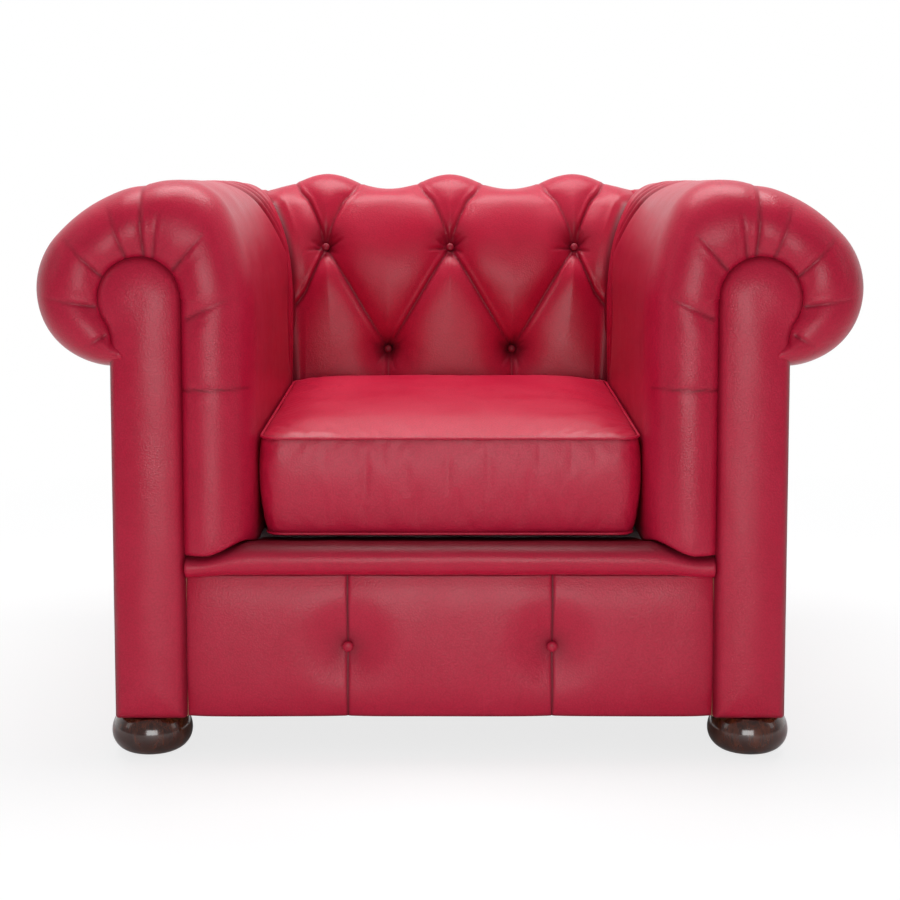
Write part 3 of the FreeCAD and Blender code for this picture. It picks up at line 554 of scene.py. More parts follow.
def make_arms(material):
    """Both arms' leather, from the mitre over the scroll to the facing."""
    points, from_mitre, lengths = arm_grid()
    normals = normals_of(points)
    if normals[30, 20][0] > 0:
        normals = -normals
    height, painted_shade = arm_relief(points, from_mitre, lengths)
    moved = points + normals * height[..., None]
    corner = 18 * MM * smooth(FACING[0].x - 25 * MM, ARM_IN + 6 * MM, moved[..., 0])
    low = np.exp(-(moved[..., 2] - COVER_LOW) / (30 * MM))
    low *= smooth(FRONT_EDGE + 40 * MM, FRONT + 15 * MM, moved[..., 1])
    moved[..., 2] += corner * low
    right = sheet_from("arm_leather_right", moved, painted_shade, lambda c: Vector((HEAD_X, c.y, HEAD_Z)) * -1 + c)
    left = mirror_of(right, "arm_leather_left")
    for item, hand in ((right, "right"), (left, "left")):
        finish_piece(item, material, "chair", "leather", f"arm_cover_{hand}", f"arm_foam_{hand}", fill=0.8)


# Back


def back_buttons():
    """The buttons' places: across, length along the section, and height."""
    top, low = CREST - BUTTON_TOP_DROP, CREST - BUTTON_TOP_DROP - BUTTON_ROW_DROP
    places = [(k * BUTTON_PITCH, top) for k in (-1, 0, 1)] + [(k * BUTTON_PITCH, low) for k in (-0.5, 0.5)]
    return [(x, height_to_length(z), z) for x, z in places]


def back_folds():
    """The pleats as lines of (across, length along the section), each with its depth."""
    buttons = back_buttons()
    upper, lower = buttons[:3], buttons[3:]
    painted_shades = []
    half = BUTTON_PITCH / 2
    for x, s, z in upper:
        for side in (-1, 1):
            reach = half if abs(x + side * half) < BUTTON_PITCH else 72 * MM
            painted_shades.append(([(x, s), (x + side * reach, lower[0][1])], 1.0))
            neck = [(10, 35), (27, 72), (47, 95)]
            rise = [(x + side * dx * MM, height_to_length(z + dz * MM)) for dx, dz in neck]
            over = [(x + side * 62 * MM, CREST_AT + 60 * MM), (x + side * 70 * MM, CREST_AT + 190 * MM)]
            painted_shades.append((curve_through([(x + side * 3 * MM, s + 6 * MM), *rise, *over], 6), 0.8))
    for x, s, _ in lower:
        painted_shades.append(([(x, s), (x, 0.02)], 0.9))
    for side in (-1, 1):
        x = side * 1.5 * BUTTON_PITCH
        painted_shades.append(([(x, CREST_AT + 150 * MM), (x, CREST_AT - 60 * MM), (x * 0.95, FACE - 60 * MM)], 0.9))
    return painted_shades


WHISKERS = [
    # across and up from a button, in millimetres, to the crease's end, for the upper row and the lower row
    [(-34, -9), (30, 13), (-5, 34), (5, 36), (-15, 26), (16, 22), (24, -12), (-22, 10)],
    [(-26, 14), (33, 0), (-17, -30), (17, -30), (22, 20), (-30, -3), (-8, 26), (9, 27)],
]


def back_grid():
    """The undisplaced back: rows run up the section and over the crest, columns from mitre to mitre."""
    s = spaced([(0, 9 * MM), (0.15, 2.7 * MM), (CREST_AT + 60 * MM, 7 * MM), (SECTION_LENGTH, 0)])
    q = spaced([(-0.5, 5 * MM), (-0.24, 2.7 * MM), (0.24, 5 * MM), (0.5, 0)])
    u, z = section(s)
    rho = corner_radius(u)
    straight = ARM_IN + u - rho
    arc = rho * math.pi / 4
    half = straight + arc + OVERLAP
    keep = 0.21
    rows, across = [], []
    for i in range(len(s)):
        stretched = keep + (np.abs(q) - keep) * (half[i] - keep) / (0.5 - keep)
        p = np.where(np.abs(q) <= keep, q, np.sign(q) * stretched)
        turn = np.clip((np.abs(p) - straight[i]) / rho[i], 0, math.pi / 2)
        x = np.sign(p) * (np.minimum(np.abs(p), straight[i]) + rho[i] * np.sin(turn))
        y = BACK_IN + u[i] - rho[i] * (1 - np.cos(turn))
        rows.append(np.stack([x, y, np.full_like(x, z[i])], -1))
        across.append(p)
    lengths = np.broadcast_to(s[:, None], (len(s), len(q)))
    from_mitre = half[:, None] - OVERLAP - np.abs(np.array(across))
    return np.array(rows), np.array(across), lengths, from_mitre


def back_relief(points, across, lengths, from_mitre):
    """Height of the back's leather above the plain surface, and the painted shade each point gets along its
    pleats and creases, in and round its button hollows and at the mitre.
    """
    props = look()
    flat = np.stack([across, lengths], -1)
    nearest = np.full(across.shape, 1.0)
    height = ripple(points, 80 * MM, 3.0) * 1.2 * MM
    painted_shade = np.zeros_like(across)
    for corners, depth in back_folds():
        d, _, side = path_to(flat, corners)
        calm = 1 - 0.6 * smooth(CREST_AT - 70 * MM, CREST_AT, lengths)
        calm *= 1 - 0.7 * smooth(CREST_AT + 30 * MM, CREST_AT + 200 * MM, lengths)
        strength = depth * calm
        nearest = np.minimum(nearest, d)
        height -= strength * 0.5 * props.fold_depth * crease(d, 1.9 * MM)
        lip = np.sign(across + 1e-9) * side
        height += strength * 2.6 * MM * bump(lip - 5 * MM, 3 * MM) * bump(d, 9 * MM)
        painted_shade = np.maximum(painted_shade, 0.62 * strength * bump(d, 2.2 * MM))
    swell = 1 - np.exp(-((nearest / (30 * MM)) ** 1.4))
    ease = 1 - 0.8 * smooth(CREST_AT - 60 * MM, CREST_AT + 5 * MM, lengths)
    height += ease * (props.pillow * (swell - 0.5) - 0.3 * props.fold_depth * bump(nearest, 13 * MM))
    for i, (x, s, _) in enumerate(back_buttons()):
        r = np.hypot(across - x, lengths - s)
        low = 1.0 if i < 3 else 1.25
        hollow = np.exp(-((r / (20 * MM * low)) ** 1.15))
        height -= props.button_depth * low * hollow
        # Painted shade: a dark core in each hollow, and a softer dark patch centred 13 mm above each upper
        # button and on each lower one.
        painted_shade = np.maximum(painted_shade, np.exp(-((r / (11 * MM * low**2.4)) ** 2)))
        above = np.hypot(across - x, lengths - s - (13 * MM if i < 3 else 0))
        painted_shade = np.maximum(painted_shade, 0.45 * bump(above, 27 * MM))
        for j, (dx, dz) in enumerate(WHISKERS[0 if i < 3 else 1]):
            shift = 1 + 0.18 * math.sin(7 * i + 3 * j)
            end = (x + dx * MM * shift, s + dz * MM * (2 - shift))
            d, t, side = run_to(flat, (x, s), end)
            strength = 1.35 * (1 - t) ** 0.7
            height -= strength * (3.6 * MM * crease(d, 2.2 * MM)) * smooth(0, 5 * MM, r)
            height += strength * 1.8 * MM * bump(side - 4.5 * MM, 2.8 * MM) * bump(d, 7 * MM)
            painted_shade = np.maximum(painted_shade, 0.75 * strength * bump(d, 2.2 * MM))
    height -= 6 * MM * smooth(16 * MM, 0, from_mitre) + 2 * MM * bump(from_mitre, 30 * MM)
    painted_shade = np.maximum(painted_shade, 0.8 * smooth(9 * MM, 0, from_mitre))
    return height, np.clip(painted_shade, 0, 1)


def make_back(material):
    """The back's leather, with its crest drawn into scallops."""
    points, across, lengths, from_mitre = back_grid()
    normals = normals_of(points)
    if normals[20, normals.shape[1] // 2][1] > 0:
        normals = -normals
    height, painted_shade = back_relief(points, across, lengths, from_mitre)
    moved = points + normals * height[..., None]
    wave = np.cos(2 * math.pi * across / BUTTON_PITCH)
    wave *= smooth(1.78 * BUTTON_PITCH, 1.6 * BUTTON_PITCH, np.abs(across))
    wave *= smooth(CREST_AT - 85 * MM, CREST_AT - 5 * MM, lengths)
    wave *= smooth(CREST_AT + 190 * MM, CREST_AT + 30 * MM, lengths)
    moved[..., 2] += look().scallop * wave
    middle = Vector((0, BACK_IN + 120 * MM, CREST - 150 * MM))
    item = sheet_from("back_leather", moved, painted_shade, lambda c: c - Vector((c.x, middle.y, middle.z)))
    finish_piece(item, material, "chair", "leather", "back_cover", "back_foam", fill=0.8)


# Facings, front panel and lip: padded fronts whose depth follows the distance from their edge


def outline_distance(points, outline):
    """Distance of 2-D points from a closed outline."""
    best = np.full(points.shape[:-1], 9.0)
    for a, b in zip(outline, outline[1:] + outline[:1]):
        d, _, _ = run_to(points, a, b)
        best = np.minimum(best, d)
    return best


def eased(count):
    """Positions from -1 to 1, close together at both ends."""
    t = np.linspace(-1, 1, count)
    return np.sin(t * math.pi / 2) * 0.75 + t * 0.25


def facing_sides(z):
    """Left and right edge of the right facing at heights z."""
    reach = HEAD_RADIUS + NECK_RADIUS
    across = ARM_OUT + NECK_RADIUS - HEAD_X
    neck_z = HEAD_Z - math.sqrt(reach**2 - across**2)
    join_z = HEAD_Z - HEAD_RADIUS * (HEAD_Z - neck_z) / reach
    up = np.clip(z - HEAD_Z, 0, HEAD_RADIUS)
    half = np.sqrt(np.maximum(HEAD_RADIUS**2 - up**2, 0))
    left = np.where(z > HEAD_Z, HEAD_X - half, FACING[0].x)
    low_half = np.sqrt(np.maximum(HEAD_RADIUS**2 - (z - HEAD_Z) ** 2, 0))
    neck = ARM_OUT + NECK_RADIUS - np.sqrt(np.maximum(NECK_RADIUS**2 - (z - neck_z) ** 2, 0))
    right = np.where(z > HEAD_Z, HEAD_X + half, HEAD_X + low_half)
    right = np.where(z < join_z, neck, right)
    right = np.where(z < neck_z, ARM_OUT, right)
    foot = 5 * MM
    low = np.clip(FACING[0].z + foot - z, 0, foot)
    cut = foot - np.sqrt(foot**2 - low**2)
    return left + cut, right - cut


def make_facings(material):
    """Padded panels in the shape of the scroll, on the arms' fronts."""
    z_low = FACING[0].z
    heights = np.concatenate(
        [
            z_low + 14 * MM * (1 - np.cos(np.linspace(0, math.pi / 2, 12)[:-1])),
            np.linspace(z_low + 14 * MM, HEAD_Z - 60 * MM, 56)[:-1],
            np.linspace(HEAD_Z - 60 * MM, HEAD_Z, 22)[:-1],
            HEAD_Z + (HEAD_RADIUS - 0.05 * MM) * np.sin(np.linspace(0, math.pi / 2, 30)),
        ]
    )
    left, right = facing_sides(heights)
    share = (eased(49) + 1) / 2
    x = left[:, None] + (right - left)[:, None] * share[None, :]
    z = np.broadcast_to(heights[:, None], x.shape)
    outline = list(zip(left, heights))[::2] + list(zip(right, heights))[::-1][::2]
    plane = np.stack([x, z], -1)
    d = outline_distance(plane, outline)
    edge = 11 * MM
    round_off = edge - np.sqrt(np.maximum(edge**2 - (edge - np.minimum(d, edge)) ** 2, 0))
    crown = 12 * MM * (1 - np.minimum(d, 47 * MM) / (47 * MM)) ** 2
    y = FRONT + round_off + crown
    points = np.stack([x, y, z], -1)
    y = y + ripple(points, 60 * MM, 7.0) * 0.8 * MM
    # Painted shade along the facing's edge, where it meets the arm's leather.
    painted_shade = 0.6 * bump(d, 5 * MM)
    points = np.stack([x, y, z], -1)
    item = mesh_object("facing_leather_right", points.reshape(-1, 3), grid_faces(*x.shape), painted_shade)
    merge(item)
    close_shell(item, 1, FACING[1].y)
    other = mirror_of(item, "facing_leather_left")
    for piece, hand in ((item, "right"), (other, "left")):
        nodes = f"facing_cover_{hand}", f"facing_foam_{hand}"
        finish_piece(piece, material, "chair", "leather", *nodes, fill=0.9)


def make_front_panel(material):
    """The panel below the lip, drawn in by two upright seams and two buttons."""
    low, high = PANEL[0].copy(), PANEL[1].copy()
    low.x, high.x = low.x - 2 * MM, high.x + 2 * MM
    seam = PANEL_BUTTON_X
    across = spaced(
        [
            (low.x, 2.2 * MM),
            (low.x + 22 * MM, 5 * MM),
            (-seam - 24 * MM, 1.6 * MM),
            (-seam + 24 * MM, 5 * MM),
            (seam - 24 * MM, 1.6 * MM),
            (seam + 24 * MM, 5 * MM),
            (high.x - 22 * MM, 2.2 * MM),
            (high.x, 0),
        ]
    )
    upward = spaced([(low.z, 2 * MM), (low.z + 16 * MM, 4 * MM), (high.z - 16 * MM, 2 * MM), (high.z, 0)])
    x, z = np.meshgrid(across, upward)
    upright = np.minimum(z - low.z, high.z - z)
    sideways = np.minimum(x - low.x, high.x - x)
    d = np.minimum(sideways, upright)
    y = low.y + 9 * MM * np.exp(-((upright / (24 * MM)) ** 1.25))
    y = y + 5 * MM * np.exp(-((sideways / (16 * MM)) ** 1.2))
    to_seam = np.minimum(np.abs(x - seam), np.abs(x + seam))
    y = y + 3.5 * MM * np.exp(-((to_seam / (30 * MM)) ** 1.1)) + 2.2 * MM * crease(to_seam, 1.3 * MM)
    button_z = high.z - PANEL_BUTTON_DROP
    r = np.minimum(np.hypot(x - seam, z - button_z), np.hypot(x + seam, z - button_z))
    y = y + 14 * MM * np.exp(-((r / (41 * MM)) ** 1.7)) - 1.6 * MM * bump(r - 64 * MM, 26 * MM)
    y = np.minimum(y, high.y - 1 * MM)
    y = y + ripple(np.stack([x, y, z], -1), 75 * MM, 11.0) * 1.0 * MM
    # Painted shade along the seams, in the button hollows and round the panel's edges.
    painted_shade = np.maximum(0.9 * bump(to_seam, 1.8 * MM), 0.5 * bump(r, 20 * MM))
    painted_shade = np.maximum(painted_shade, 0.6 * bump(d, 3 * MM))
    points = np.stack([x, y, z], -1)
    item = mesh_object("front_panel_leather", points.reshape(-1, 3), grid_faces(*x.shape), painted_shade)
    close_shell(item, 1, PANEL[1].y)
    finish_piece(item, material, "chair", "leather", "front_panel_cover", "front_panel_foam", fill=0.7)


def make_lip(material):
    """The rounded lip runs between the facings; its ends dip and flatten under the arms' fronts."""
    low, high = LIP
    across = spaced([(low.x, 3 * MM), (low.x + 110 * MM, 8 * MM), (high.x - 110 * MM, 3 * MM), (high.x, 0)])
    half_turn = np.linspace(0, math.pi, 19)
    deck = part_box("deck_cloth")[1].z
    rear = high.y
    rows, painted_shades = [], []
    for x in across:
        inwards = high.x - abs(x)
        reach = 26 * MM * smooth(84 * MM, 100 * MM, inwards)
        under_arm = smooth(86 * MM, 16 * MM, inwards)
        top = deck + 3 * MM - under_arm * (deck + 3 * MM - high.z + 1 * MM)
        bottom = low.z - 4 * MM * smooth(60 * MM, 10 * MM, inwards)
        front = low.y - 3 * MM + 1.5 * MM * under_arm
        middle, radius = (top + bottom) / 2, (top - bottom) / 2
        nose = 25 * MM
        profile = [(rear, bottom + 1 * MM), (front + nose, bottom)]
        for a in half_turn:
            profile.append((front + nose - nose * math.sin(a), middle - radius * math.cos(a)))
        under = deck + 0.4 * MM if under_arm < 0.5 else top - 1 * MM
        profile.append((front + nose + 8 * MM, top))
        profile.append((rear, top - 1 * MM - 1.5 * MM * (1 - under_arm)))
        profile.append((rear + reach, under))
        rows.append([(x, y, z) for y, z in profile])
        # Painted shade: 0.7 on the lip's underside and the bottom of its nose, none across the nose's middle,
        # and up to 0.8 over its upper half and its top, which lies under the cushion.
        top_at = len(profile) - 12
        painted_shades.append([0.7 if i < 4 else 0.8 * smooth(top_at - 1, top_at + 5, i) for i in range(len(profile))])
    points = np.array(rows)
    points = points + ripple(points, 60 * MM, 17.0)[..., None] * np.array([0, 0.9 * MM, 0.6 * MM])
    painted_shade = np.array(painted_shades)
    item = mesh_object("lip_leather", points.reshape(-1, 3), grid_faces(*points.shape[:2], around=True), painted_shade)
    close_shell(item)
    finish_piece(item, material, "chair", "leather", "lip_cover", "lip_foam", fill=0.8)


# Seat cushion


def rounded_loop(x_half, y_low, y_high, radius, count=12):
    """A rounded rectangle seen from above, with evenly spread points on its straights."""
    points = []
    corners = [
        (x_half - radius, y_low + radius, -90),
        (x_half - radius, y_high - radius, 0),
        (-x_half + radius, y_high - radius, 90),
        (-x_half + radius, y_low + radius, 180),
    ]
    for cx, cy, start in corners:
        for k in range(count + 1):
            a = math.radians(start + 90 * k / count)
            points.append((cx + radius * math.cos(a), cy + radius * math.sin(a)))
    out = []
    for (ax, ay), (bx, by) in zip(points, points[1:] + points[:1]):
        steps = max(1, round(math.hypot(bx - ax, by - ay) / (7 * MM)))
        for k in range(steps):
            out.append((ax + (bx - ax) * k / steps, ay + (by - ay) * k / steps))
    return out


CUSHION_CORNER = 24 * MM
TOP_INSET = 3 * MM
LOW_INSET = 10 * MM


def cushion_outline(inset):
    """The cushion's plan drawn in by a distance, as x and y."""
    low, high = CUSHION
    loop = np.array(rounded_loop(high.x, low.y - 5 * MM, high.y, CUSHION_CORNER))
    middle = np.array([0, (low.y - 5 * MM + high.y) / 2])
    half = np.array([high.x, (high.y - low.y + 5 * MM) / 2])
    return middle + (loop - middle) * (1 - inset / half), (loop - middle) / half


def seam_heights(rearwards):
    """Heights of the lower and upper seams; the upper one rises towards the back. rearwards is -1 to 1."""
    rise = 9 * MM * (rearwards + 1)
    return np.full_like(rise, CUSHION[0].z + 9 * MM), np.full_like(rise, CUSHION[1].z - 22 * MM) + rise


def cushion_rings():
    """Rings of points from the middle of the underside round the border to the middle of the top."""
    rings = []
    _, rel = cushion_outline(0)
    low_seam, top_seam = seam_heights(rel[:, 1])
    base = CUSHION[0].z + 0.8 * MM
    for k in np.linspace(0.04, 1, 26):
        outline, _ = cushion_outline(LOW_INSET)
        middle = outline.mean(axis=0)
        z = base + (low_seam - base) * k**10
        rings.append(np.column_stack([middle + (outline - middle) * k, z]))
    for t in np.linspace(0, 1, 22)[1:-1]:
        bulge = 4 * MM * math.sin(math.pi * t) ** 0.7
        outline, _ = cushion_outline(LOW_INSET * (1 - t) ** 2.2 + TOP_INSET * t**2.2 - bulge * 0.5)
        rings.append(np.column_stack([outline, low_seam + (top_seam - low_seam) * t]))
    for k in np.linspace(1, 0.04, 34):
        outline, rel = cushion_outline(TOP_INSET)
        middle = outline.mean(axis=0)
        crown = (1 - (k * rel[:, 0]) ** 2) * (1 - (k * rel[:, 1]) ** 2)
        _, seam_z = seam_heights(k * rel[:, 1])
        z = seam_z + 10 * MM * (1 - k**14) + 6 * MM * crown
        rings.append(np.column_stack([middle + (outline - middle) * k, z]))
    return np.array(rings)


def swell_cushion(item, seams):
    """Blows the cushion up as cloth, held at its seams, and caps how far a point may move."""
    voxels = item.modifiers.new("Even mesh", "REMESH")
    voxels.mode = "VOXEL"
    voxels.voxel_size = 6 * MM
    apply_all(item)
    start = np.array([v.co[:] for v in item.data.vertices])
    gap = np.full(len(start), 1.0)
    for seam in seams:
        for point in seam[::2]:
            gap = np.minimum(gap, np.linalg.norm(start - point, axis=1))
    held = item.vertex_groups.new(name="seams")
    held.add([int(i) for i in np.nonzero(gap < 6.5 * MM)[0]], 1.0, "REPLACE")
    held.add([int(i) for i in np.nonzero(start[:, 2] < CUSHION[0].z + 3 * MM)[0]], 1.0, "REPLACE")
    cloth = item.modifiers.new("Swell", "CLOTH")
    cloth.settings.use_pressure = True
    cloth.settings.uniform_pressure_force = 4
    cloth.settings.effector_weights.gravity = 0
    cloth.settings.vertex_group_mass = held.name
    cloth.settings.shrink_min = -0.006
    cloth.settings.quality = 4
    cloth.point_cache.frame_start = 1
    cloth.point_cache.frame_end = 20
    scene = bpy.context.scene
    for step in range(1, 21):
        scene.frame_set(step)
    apply_all(item)
    scene.frame_set(1)
    item.vertex_groups.clear()
    moved = np.array([v.co[:] for v in item.data.vertices]) - start
    length = np.linalg.norm(moved, axis=1, keepdims=True)
    cap = 9 * MM
    moved *= np.tanh(length / cap) * cap / np.maximum(length, 1e-9)
    place = start + moved
    place[:, 0] = np.clip(place[:, 0], CUSHION[0].x - 3.5 * MM, CUSHION[1].x + 3.5 * MM)
    place[:, 2] = np.maximum(place[:, 2], CUSHION[0].z + 0.5 * MM)
    item.data.vertices.foreach_set("co", place.ravel())
    item.data.update()


def make_cushion(material):
    """A boxed cushion between two piped seams, with a crowned top that is swelled as cloth."""
    rings = cushion_rings()
    rows, cols = rings.shape[:2]
    item = mesh_object("cushion_leather", rings.reshape(-1, 3), grid_faces(rows, cols, around=True))
    close_shell(item)
    _, rel = cushion_outline(0)
    low_seam, top_seam = seam_heights(rel[:, 1])
    seams = [
        np.column_stack([cushion_outline(LOW_INSET)[0], low_seam]),
        np.column_stack([cushion_outline(TOP_INSET)[0], top_seam]),
    ]
    swell_cushion(item, seams)
    finer = item.modifiers.new("Finer", "SUBSURF")
    finer.levels = finer.render_levels = 1
    apply_all(item)
    places = np.array([v.co[:] for v in item.data.vertices])
    # Painted shade along both piped seams.
    painted_shade = np.zeros(len(places))
    for seam in seams:
        for point in seam:
            near = np.linalg.norm(places - point, axis=1)
            painted_shade = np.maximum(painted_shade, 0.6 * bump(near, 5 * MM))
    relief = ripple(places, 90 * MM, 23.0) * 1.4 * MM
    place = places + np.array([v.normal[:] for v in item.data.vertices]) * relief[:, None]
    place[:, 2] = np.maximum(place[:, 2], CUSHION[0].z + 0.5 * MM)
    item.data.vertices.foreach_set("co", place.ravel())
    set_painted_shade(item.data, painted_shade)
    item.data.update()
    item.data.shade_smooth()
    finish_piece(item, material, "cushion", "cushion_leather", "cushion_cover", "cushion_core", fill=0.85)
    for name, seam in zip(("cushion_piping_low", "cushion_piping_top"), seams):
        make_piping(name, seam, 2.0 * MM, material)


def make_piping(name, route, radius, material):
    """A closed welt cord along a route."""
    curve = bpy.data.curves.new(name, "CURVE")
    curve.dimensions = "3D"
    curve.bevel_depth = radius
    curve.bevel_resolution = 3
    line = curve.splines.new("POLY")
    line.points.add(len(route) - 1)
    for point, place in zip(line.points, route):
        point.co = (*place, 1)
    line.use_cyclic_u = True
    item = bpy.data.objects.new(name, curve)
    bpy.context.scene.collection.objects.link(item)
    choose(item)
    bpy.ops.object.convert(target="MESH")
    item = bpy.context.object
    item.data.shade_smooth()
    return finish_piece(item, material, "cushion", "cushion_leather")


# Outside panels, buttons


def make_panel(name, axis, start, end, low, high, out, inner):
    """A taut upright panel with a welt round its edge.

    It runs along axis (0 or 1) from start to end. On the other axis, its face lies at out and its back at inner.
    """
    run = spaced([(start, 2.5 * MM), (start + 20 * MM, 11 * MM), (end - 20 * MM, 2.5 * MM), (end, 0)])
    rise = spaced([(low, 2.5 * MM), (low + 20 * MM, 11 * MM), (high - 20 * MM, 2.5 * MM), (high, 0)])
    along, z = np.meshgrid(run, rise)
    side = 1 if out > inner else -1
    d = np.minimum(np.minimum(along - start, end - along), np.minimum(z - low, high - z))
    flat = np.full_like(along, out)
    points = np.stack([along, flat, z], -1)
    depth = ripple(points, 130 * MM, 31.0) * 1.0 * MM + 1.4 * MM * smooth(10 * MM, 120 * MM, d)
    depth -= 1.6 * MM * crease(d - 9 * MM, 1.2 * MM) + 1.2 * MM * (1 - smooth(0, 3 * MM, d))
    across = out + side * (depth - 1.2 * MM)
    # Painted shade in the crease of the welt round the panel's edge.
    painted_shade = 0.7 * bump(d - 9 * MM, 1.4 * MM)
    columns = [along, across, z] if axis == 0 else [across, along, z]
    points = np.stack(columns, -1)
    item = mesh_object(name, points.reshape(-1, 3), grid_faces(*along.shape), painted_shade)
    close_shell(item, 1 - axis, inner)
    return item


def make_outside(material):
    """The panels outside both arms and the back."""
    low, high = OUTSIDE_ARM
    right = make_panel("outside_arm_leather_right", 1, low.y, high.y, low.z, high.z, high.x, low.x)
    left = mirror_of(right, "outside_arm_leather_left")
    low, high = OUTSIDE_BACK
    rear = make_panel("outside_back_leather", 0, low.x, high.x, low.z, high.z, high.y, low.y)
    covers = ("outside_arm_cover_right", "outside_arm_cover_left", "outside_back_cover")
    for panel, cover in zip((right, left, rear), covers):
        finish_piece(panel, material, "chair", "leather", cover, fill=0.9)


def covered_button(name, place, direction, radius, shade):
    """A domed button covered in leather, drawn in slightly round its edge."""
    clear_selection()
    bpy.ops.mesh.primitive_uv_sphere_add(segments=40, ring_count=20, radius=1, location=(0, 0, 0))
    item = bpy.context.object
    item.name = item.data.name = name
    turn = Vector((0, 0, 1)).rotation_difference(Vector(direction)).to_matrix()
    for v in item.data.vertices:
        flat = math.hypot(v.co.x, v.co.y)
        lift = v.co.z * (0.55 if v.co.z > 0 else 0.4)
        lift += 0.05 * math.sin(5 * math.atan2(v.co.y, v.co.x)) * flat * (1 - flat)
        v.co = Vector(place) + turn @ (Vector((v.co.x, v.co.y, lift)) * radius)
    set_painted_shade(item.data, np.full(len(item.data.vertices), shade))
    item.data.shade_smooth()
    return item


def joined(items, name):
    """Several pieces as one."""
    clear_selection()
    for item in items:
        item.select_set(True)
    bpy.context.view_layer.objects.active = items[0]
    bpy.ops.object.join()
    item = bpy.context.object
    item.name = item.data.name = name
    return item


def make_buttons(material):
    """Buttons sit at the bottom of the hollows of the back and of the front panel."""
    made = []
    for i, (x, s, z) in enumerate(back_buttons()):
        u, _ = section(np.array([s]))
        u2, z2 = section(np.array([s + 2 * MM]))
        slope = Vector((0, -(z2[0] - z), u2[0] - u[0])).normalized()
        depth = (15 if i < 3 else 24) * MM
        place = Vector((x, BACK_IN + u[0], z)) - slope * depth
        made.append(covered_button(f"button_{i}", place, slope, 6.2 * MM, 0.5 if i < 3 else 0.75))
    back = joined(made, "back_button_caps")
    finish_piece(back, material, "chair", "buttons", "back_buttons")
    made = []
    z = PANEL[1].z - PANEL_BUTTON_DROP
    for i, side in enumerate((-1, 1)):
        place = Vector((side * PANEL_BUTTON_X, PANEL[0].y + 12.5 * MM, z))
        made.append(covered_button(f"panel_button_{i}", place, (0, -1, 0), 7 * MM, 0.1))
    front = joined(made, "front_panel_button_caps")
    finish_piece(front, material, "chair", "buttons", "front_panel_buttons")


# Materials


class Tree:
    """The nodes of a new material or of a world, added and linked in one go."""

    def __init__(self, name, world=None):
        owner = world or bpy.data.materials.new(name)
        owner.use_nodes = True
        self.material = owner
        self.nodes = owner.node_tree.nodes
        self.links = owner.node_tree.links
        self.surface = self.nodes["Background" if world else "Principled BSDF"]

    def add(self, kind, settings=None, **inputs):
        """A new node with its settings; inputs are named as its sockets, with _ for a space."""
        node = self.nodes.new(kind)
        for key, value in (settings or {}).items():
            setattr(node, key, value)
        return self.feed_all(node, **inputs)

    def feed(self, node, key, value):
        """Links an output to a socket, or sets the socket to a plain value. The key is a name or a number."""
        socket = node.inputs[int(key)] if key.isdigit() else node.inputs[key]
        if isinstance(value, bpy.types.NodeSocket):
            self.links.new(value, socket)
        else:
            socket.default_value = value

    def feed_all(self, node, **inputs):
        for key, value in inputs.items():
            self.feed(node, key.replace("_", " "), value)
        return node

    def math(self, operation, a, b=0.0, clamp=False):
        node = self.add("ShaderNodeMath", {"operation": operation, "use_clamp": clamp})
        self.feed(node, "0", a)
        self.feed(node, "1", b)
        return node.outputs[0]

    def mix(self, factor, a, b, blend="MIX"):
        node = self.add("ShaderNodeMix", {"data_type": "RGBA", "blend_type": blend})
        self.feed(node, "0", factor)
        self.feed(node, "6", a if isinstance(a, bpy.types.NodeSocket) else (*a, 1))
        self.feed(node, "7", b if isinstance(b, bpy.types.NodeSocket) else (*b, 1))
        return node.outputs[2]

    def range(self, value, low, high, out_low, out_high):
        """Carries the stretch from low to high over to the stretch from out_low to out_high."""
        node = self.add("ShaderNodeMapRange", Value=value, From_Min=low, From_Max=high)
        return self.feed_all(node, To_Min=out_low, To_Max=out_high).outputs[0]

    def place(self, scale=(1, 1, 1)):
        """The piece's own coordinates, stretched."""
        where = self.add("ShaderNodeTexCoord").outputs["Object"]
        return self.add("ShaderNodeMapping", Vector=where, Scale=scale).outputs[0]

    def noise(self, where, scale, detail=4.0, roughness=0.5):
        node = self.add("ShaderNodeTexNoise", Vector=where, Scale=scale, Detail=detail, Roughness=roughness)
        return node.outputs["Fac"]

    def cells(self, where, scale, feature="F1", smoothness=0.4):
        node = self.add("ShaderNodeTexVoronoi", {"feature": feature}, Vector=where, Scale=scale)
        if feature == "SMOOTH_F1":
            self.feed(node, "Smoothness", smoothness)
        return node.outputs["Distance"]

    def bump(self, height, strength, distance, normal=None):
        node = self.add("ShaderNodeBump", Strength=strength, Distance=distance, Height=height)
        if normal is not None:
            self.feed(node, "Normal", normal)
        return node.outputs[0]

    def set(self, **values):
        """Feeds the sockets of the surface's own shader."""
        self.feed_all(self.surface, **values)


